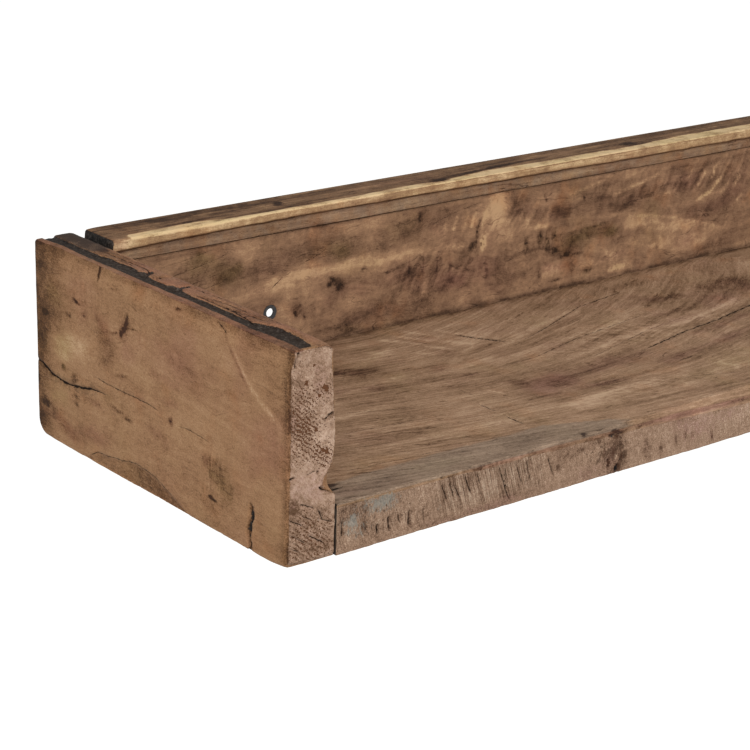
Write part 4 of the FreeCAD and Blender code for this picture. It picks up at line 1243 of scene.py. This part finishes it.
LIP_PROUD = 2
LIP_STEP = (226, 219)
STRIPE_START = (47, 49)
LIP_FOOT = (
    [34, 60, 100, 150, 200, 300, 400, 450, 766],
    [113, 113.4, 114.2, 114.8, 114.9, 114.5, 114.3, 113.6, 113.6],
)
STRIPE_LOW = ([48, 100, 150, 200, 300, 766], [-2, -1.8, -0.6, -1, -0.3, -0.6])
STRIPE_HIGH = (
    [50, 75, 100, 115, 125, 160, 200, 225, 240, 260, 275, 290, 300, 315, 330, 350, 380, 440, 450, 475,
        490, 520, 560, 640, 700, 766],
    [7.5, 8.2, 8.6, 5.5, 4, 4, 5, 5, 6.5, 7.5, 6.5, 5, 6.5, 9, 11, 10, 9, 9, 7, 8, 10, 12.5, 13.5, 9, 12,
        8],
)
RAIL_TOP_MARKS = [
    (165, 234, 3, 4, 0, -0.7, 0.2), (290, 225, 6, 4, 10, -0.5, 0.4), (95, 229, 20, 2, 0, -0.4, 0.3),
    (340, 232, 40, 2, 4, -0.4, 0.3), (100, 242, 60, 6, 0, -0.2, 0.1), (260, 238, 60, 7, 0, 0.08, 0.3),
    (440, 240, 60, 8, 0, 0.06, 0.2), (470, 232, 6, 3, 0, -0.5, 0.2),
]


def rail_arris(points):
    """How far each arris of the rail is worn round."""
    x, y, z = points.T
    radius = 0.8 - 0.5 * near_edge(y - BACK_FACE, z - JOINT_HEIGHT, 4)
    radius += (1.3 + 0.4 * noise(points, 23, seed=151)) * near_edge(y - LIP_FACE, RAIL_TOP - z, 7)
    return radius + 1.4 * near_edge(x - RAIL_START, RAIL_TOP - z, 5)


def rail_finish(place, normal):
    """The wear and marks of the rail, with painted shade under its lip and along its joint."""
    seed = 163
    x, y, z = place.T
    along = place * (1, 0, 0)
    foot = np.interp(x, *LIP_FOOT) + 0.2 * noise(along, 9, seed + 1)
    depth = 0.3 * (1 + rough_noise(place, 90, seed))
    moved = place - normal * depth[:, None]
    near_face = ease(*LIP_STEP, y)
    strip = near_face * ease(foot + 0.8, foot - 0.8, z)
    moved[:, 1] += strip * LIP_PROUD

    frayed = rough_noise(place, (12, 3, 3), seed + 3)
    from_arris = (y - LIP_FACE) + (z - RAIL_TOP)
    low_side = np.interp(x, *STRIPE_LOW) + 0.3 * frayed
    high_side = np.interp(x, *STRIPE_HIGH) + 1.2 * frayed
    stripe = ease(low_side - 0.5, low_side + 0.5, from_arris) * ease(*STRIPE_START, x + 2 * frayed)
    stripe *= ease(high_side + 0.6, high_side - 0.6, from_arris)
    upper = ease(0.2, 0.7, normal[:, 2]) * (1 - stripe)
    band = near_face * (1 - strip) * (1 - stripe) * (1 - upper)
    corner = near_edge(x - 40, 0, 7) * near_face * (1 - strip)
    # Painted shade: a soft dark line at the foot of the proud lip, and along the joint with the back board.
    shade_under_lip = near_face * near_edge(z - foot, 0, 1.1)
    shade_at_joint = near_face * ease(JOINT_HEIGHT + 1.8, JOINT_HEIGHT + 0.4, z)
    shade_at_joint *= ease(-0.5, 0.5, noise(along, 24, seed + 6))
    dark_end = ease(0.3, 0.7, np.abs(normal[:, 0]))
    streaks = rough_noise(place, (40, 2, 2), seed + 4)
    tone, shade, hue = Side(place, normal, 2, 1, seed).stains(RAIL_TOP_MARKS)
    shade += 0.5 * stripe + 0.24 * corner - 0.12 * upper * (1 - corner) + 0.28 * band + 0.06 * strip
    stored = {
        "tone": tone + 0.26 * streaks * (upper + 0.3 * stripe),
        "shade": shade - 0.3 * dark_end - 0.22 * shade_under_lip - 0.14 * shade_at_joint,
        "hue": hue - 0.25 * stripe + 0.1 * band + 0.3 * strip + 0.3 * corner,
        "black": 0.8 * dark_end + 0.2 * shade_at_joint,
        "patina": 0.5 * strip,
        "flow": flowing(place, seed + 5, (70, 24, 24), (8, 1.6, 1.2)),
    }
    return moved, stored


# Small metal and wooden parts that keep their solids


def metal(name, shade, roughness, worn_shade, metallic=1):
    """Dull metal with fine scratches and worn spots."""
    shader = Shader(name)
    place = shader.places()
    scratch = shader.noise(place, (0.3, 0.3, 2.5), 3)
    worn = shader.ease(0.52, 0.72, shader.noise(place, 1.4, 4, 0.65))
    base = shader.mix(worn, colour(*shade), colour(*worn_shade))
    shader.coat(base, shader.ease(0.3, 0.7, scratch, roughness - 0.1, roughness + 0.15), scratch, 0.3, 0.05)
    shader.surface.inputs["Metallic"].default_value = metallic
    return shader.material


def beech():
    """Plain pale dowel wood."""
    shader = Shader("beech")
    fleck = shader.noise(shader.places(), (5, 0.6, 0.6), 3)
    base = shader.ramp(fleck, ramp_of((150, 116, 80), (186, 152, 112), (206, 176, 138)))
    shader.coat(base, 0.6, fleck, 0.4, 0.1)
    return shader.material


def dress(nodes, material):
    """Gives CAD nodes a material."""
    for node in nodes:
        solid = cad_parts[node]
        solid.data.materials.clear()
        solid.data.materials.append(material)


# Hanging holes and screw mouths, cut from the back board's mesh

HOLE_INSET = 150
HOLE_HEIGHT = 55.5
HOLES = [HOLE_INSET, LENGTH - HOLE_INSET]
WASHER_RADIUS, WASHER_DEPTH = 5.1, 1.5
SEAT_RADIUS, SEAT_DEPTH = 4, 5
POCKET_LENGTH, POCKET_HEIGHT, POCKET_CORNER = 56, 36, 12
FACE_SKIN = 3
SCREW_COUNT = 5
SCREW_SPACING = (LENGTH - 2 * END_THICKNESS) / SCREW_COUNT
SCREWS = [END_THICKNESS + (index + 0.5) * SCREW_SPACING for index in range(SCREW_COUNT)]
MOUTH_RADIUS, MOUTH_DEPTH = 4.5, 4
OVERRUN = 2
ROUND_SIDES = 48


def add_cylinder(shape, x, z, radius, start, end):
    """A closed cylinder along y, added to a bmesh."""
    turn = Matrix.Rotation(math.pi / 2, 4, "X")
    bmesh.ops.create_cone(
        shape, cap_ends=True, segments=ROUND_SIDES, radius1=radius * MM, radius2=radius * MM,
        depth=(end - start) * MM, matrix=Matrix.Translation(at((x, (start + end) / 2, z))) @ turn,
    )


def add_pocket(shape, x):
    """The routed pocket behind a hanging hole, added to a bmesh."""
    rim = []
    steps = 8
    for quarter, (side_x, side_z) in enumerate([(1, 1), (-1, 1), (-1, -1), (1, -1)]):
        middle_x = x + side_x * (POCKET_LENGTH / 2 - POCKET_CORNER)
        middle_z = HOLE_HEIGHT + side_z * (POCKET_HEIGHT / 2 - POCKET_CORNER)
        for step in range(steps + 1):
            angle = math.pi / 2 * (quarter + step / steps)
            away_x, away_z = POCKET_CORNER * math.cos(angle), POCKET_CORNER * math.sin(angle)
            rim.append((middle_x + away_x, middle_z + away_z))
    ends = (BACK_FACE + FACE_SKIN, DEPTH + OVERRUN)
    inner, outer = ([shape.verts.new(at((rim_x, y, rim_z))) for rim_x, rim_z in rim] for y in ends)
    shape.faces.new(inner)
    shape.faces.new(outer[::-1])
    for index in range(len(rim)):
        shape.faces.new([inner[index], inner[index - 1], outer[index - 1], outer[index]])


def cut(board, shape):
    """Cuts the solids of a bmesh out of a board's mesh."""
    bmesh.ops.recalc_face_normals(shape, faces=shape.faces)
    cutter = link_shape("cutter", shape)
    modifier = board.modifiers.new("holes", "BOOLEAN")
    modifier.object = cutter
    modifier.operation = "DIFFERENCE"
    modifier.solver = "EXACT"
    bpy.context.view_layer.objects.active = board
    with bpy.context.temp_override(object=board, active_object=board, selected_objects=[board]):
        bpy.ops.object.modifier_apply(modifier=modifier.name)
    mesh = cutter.data
    bpy.data.objects.remove(cutter)
    bpy.data.meshes.remove(mesh)


def cut_holes(board):
    """Cuts the pockets, then the bores behind the washers, then the washers' and the screws' recesses."""
    pockets, bores, recesses = bmesh.new(), bmesh.new(), bmesh.new()
    for x in HOLES:
        add_pocket(pockets, x)
        add_cylinder(bores, x, HOLE_HEIGHT, SEAT_RADIUS, BACK_FACE + 1, BACK_FACE + SEAT_DEPTH)
        add_cylinder(recesses, x, HOLE_HEIGHT, WASHER_RADIUS, BACK_FACE - OVERRUN, BACK_FACE + WASHER_DEPTH)
    for x in SCREWS:
        add_cylinder(recesses, x, BOTTOM_THICKNESS / 2, MOUTH_RADIUS, DEPTH - MOUTH_DEPTH, DEPTH + OVERRUN)
    for shape in (pockets, bores, recesses):
        cut(board, shape)


# The boards

SEEN = 340
RIGHT_INNER = LENGTH - END_THICKNESS
RAIL_END = LENGTH - RAIL_START
END_GRID = (
    edged(0, END_THICKNESS, 3, 0.5, 0.75),
    edged(0, DEPTH, 4, 0.5, 0.95),
    edged(0, HEIGHT, 4, 0.45, 0.75),
)
BOTTOM_GRID = (
    spaced((END_THICKNESS, 35, 0.5), (35, 260, 1), (260, 480, 1.3), (480, 765, 3), (765, RIGHT_INNER, 0.5)),
    spaced((0, 12, 0.6), (12, 217, 2.2), (217, BACK_FACE, 0.5)),
    edged(0, BOTTOM_THICKNESS, 3, 0.45, 1),
)
BACK_GRID = (
    spaced((END_THICKNESS, 34, 0.5), (34, SEEN, 1.2), (SEEN, 766, 2), (766, RIGHT_INNER, 0.5)),
    edged(BACK_FACE, DEPTH, 2, 0.5, 3),
    edged(0, JOINT_HEIGHT, 2, 0.4, 1.4),
)
RAIL_GRID = (
    spaced((RAIL_START, 37, 0.4), (37, SEEN, 1.4), (SEEN, 763, 2.2), (763, RAIL_END, 0.4)),
    spaced((LIP_FACE, 222, 0.4), (222, 246, 1.2), (246, DEPTH, 0.5)),
    spaced((JOINT_HEIGHT, 107, 0.3), (107, 117, 0.5), (117, RAIL_TOP, 0.35)),
)
END_BLOCKS = {(0, 1): 3, (1, 1): 2, (2, 0): 3}
BOTTOM_BLOCKS = {(0, 0): 2, (0, 1): 2, (1, 1): 4, (2, 0): 4}
HIDDEN_BLOCKS = {(1, 1): 3, (2, 0): 3}

end_wood = Wood("end_wood", 1, END_LOOK).material
bottom_wood = Wood("bottom_wood", 0, BOTTOM_LOOK).material
back_wood = Wood("back_wood", 0, BACK_LOOK).material
rail_wood = Wood("rail_wood", 0, RAIL_LOOK).material

left_end = make_board(
    "left_end_plank", "left_end_board", END_GRID, END_BLOCKS,
    end_arris, partial(end_finish, LEFT_END), end_wood,
)
right_end = make_board(
    "right_end_plank", "right_end_board", END_GRID, END_BLOCKS,
    end_arris, partial(end_finish, RIGHT_END), end_wood, mirrored=True,
)
bottom = make_board(
    "bottom_plank", "bottom_board", BOTTOM_GRID, BOTTOM_BLOCKS,
    bottom_arris, bottom_finish, bottom_wood,
)
back = make_board(
    "back_plank", "back_board", BACK_GRID, HIDDEN_BLOCKS,
    back_arris, back_finish, back_wood,
)
cut_holes(back)
rail = make_board(
    "back_rail_strip", "back_top_rail", RAIL_GRID, HIDDEN_BLOCKS,
    rail_arris, rail_finish, rail_wood,
)

dowels = [f"{end}_{kind}_dowels" for end in ("left", "right") for kind in ("bottom", "back")]
dress(dowels + ["rail_dowels"], beech())
dress(["back_screws"], metal("zinc_steel", (168, 160, 140), 0.42, (120, 112, 98)))
dress(["left_hole_washer", "right_hole_washer"], metal("black_steel", (66, 67, 69), 0.5, (92, 90, 88), 0.5))


# Floor, light and camera

WHITE = (1, 1, 1, 1)
FLOOR_PLACE = (400, 125, -1200)
FLOOR_REACH = 12
FLOOR_GLOW = 0.6
WORLD_LIGHT = 0.5
CAMERA_PLACE = (-623.10, -827.95, 471.01)
CAMERA_YAW = math.radians(39.3344)
CAMERA_PITCH = math.radians(19.2581)
CAMERA_ROLL = math.radians(1.7081)
CAMERA_LENS = 105.302
SENSOR_WIDTH = 36
NEAREST_SEEN = 0.01


def make_floor():
    """A plain pale floor well below the hung shelf, which the camera and glossy rays see as white."""
    shape = bmesh.new()
    bmesh.ops.create_grid(shape, x_segments=8, y_segments=8, size=FLOOR_REACH)
    bmesh.ops.translate(shape, verts=shape.verts, vec=at(FLOOR_PLACE))
    floor = link_shape("floor", shape)
    shader = Shader("floor_paint")
    shader.surface.inputs["Base Color"].default_value = colour(236, 235, 232)
    shader.surface.inputs["Roughness"].default_value = 0.9
    path = shader.put("ShaderNodeLightPath", {}).outputs
    seen = shader.math("MAXIMUM", path["Is Camera Ray"], path["Is Glossy Ray"])
    seen = shader.math("MAXIMUM", seen, path["Is Transmission Ray"])
    glow = shader.put("ShaderNodeEmission", {"Color": WHITE, "Strength": seen * FLOOR_GLOW})
    both = shader.put("ShaderNodeAddShader", {0: shader.surface.outputs[0], 1: glow.outputs[0]})
    shader.feed(shader.output.inputs[0], both.outputs[0])
    floor.data.materials.append(shader.material)


def make_world():
    """Soft even light all round, seen as plain white."""
    world = bpy.data.worlds.new("studio")
    bpy.context.scene.world = world
    world.use_nodes = True
    nodes = Nodes(world.node_tree)
    path = nodes.put("ShaderNodeLightPath", {}).outputs
    seen = nodes.math("MAXIMUM", path["Is Camera Ray"], path["Is Transmission Ray"])
    strength = nodes.put("ShaderNodeMapRange", {"Value": seen, "To Min": WORLD_LIGHT, "To Max": 1})
    background = nodes.put("ShaderNodeBackground", {"Color": WHITE, "Strength": strength.outputs[0]})
    nodes.put("ShaderNodeOutputWorld", {"Surface": background.outputs[0]})


def make_lamp(name, place, target, size, power):
    """A large soft lamp aimed at a point; places in millimetres."""
    lamp = bpy.data.lights.new(name, "AREA")
    lamp.shape = "DISK"
    lamp.size = size * MM
    lamp.energy = power
    holder = link(name, lamp)
    holder.location = at(place)
    holder.rotation_euler = (at(target) - at(place)).to_track_quat("-Z", "Y").to_euler()


def make_camera():
    """The photograph's camera, solved from its edges; the yaw is measured from the y axis."""
    lens = bpy.data.cameras.new("camera")
    lens.lens = CAMERA_LENS
    lens.sensor_width = SENSOR_WIDTH
    lens.clip_start = NEAREST_SEEN
    camera = link("camera", lens)
    yaw = Matrix.Rotation(-CAMERA_YAW, 4, "Z")
    pitch = Matrix.Rotation(math.pi / 2 - CAMERA_PITCH, 4, "X")
    roll = Matrix.Rotation(CAMERA_ROLL, 4, "Z")
    camera.matrix_world = Matrix.Translation(at(CAMERA_PLACE)) @ yaw @ pitch @ roll
    bpy.context.scene.camera = camera


make_floor()
make_world()
make_lamp("key", (-900, -1500, 1500), (300, 120, 60), 1400, 40)
make_lamp("fill", (1500, -1600, 900), (400, 120, 60), 1600, 18)
make_lamp("left", (-1600, 200, 500), (0, 120, 60), 1200, 6)
make_camera()
bpy.context.scene.view_settings.view_transform = "Standard"
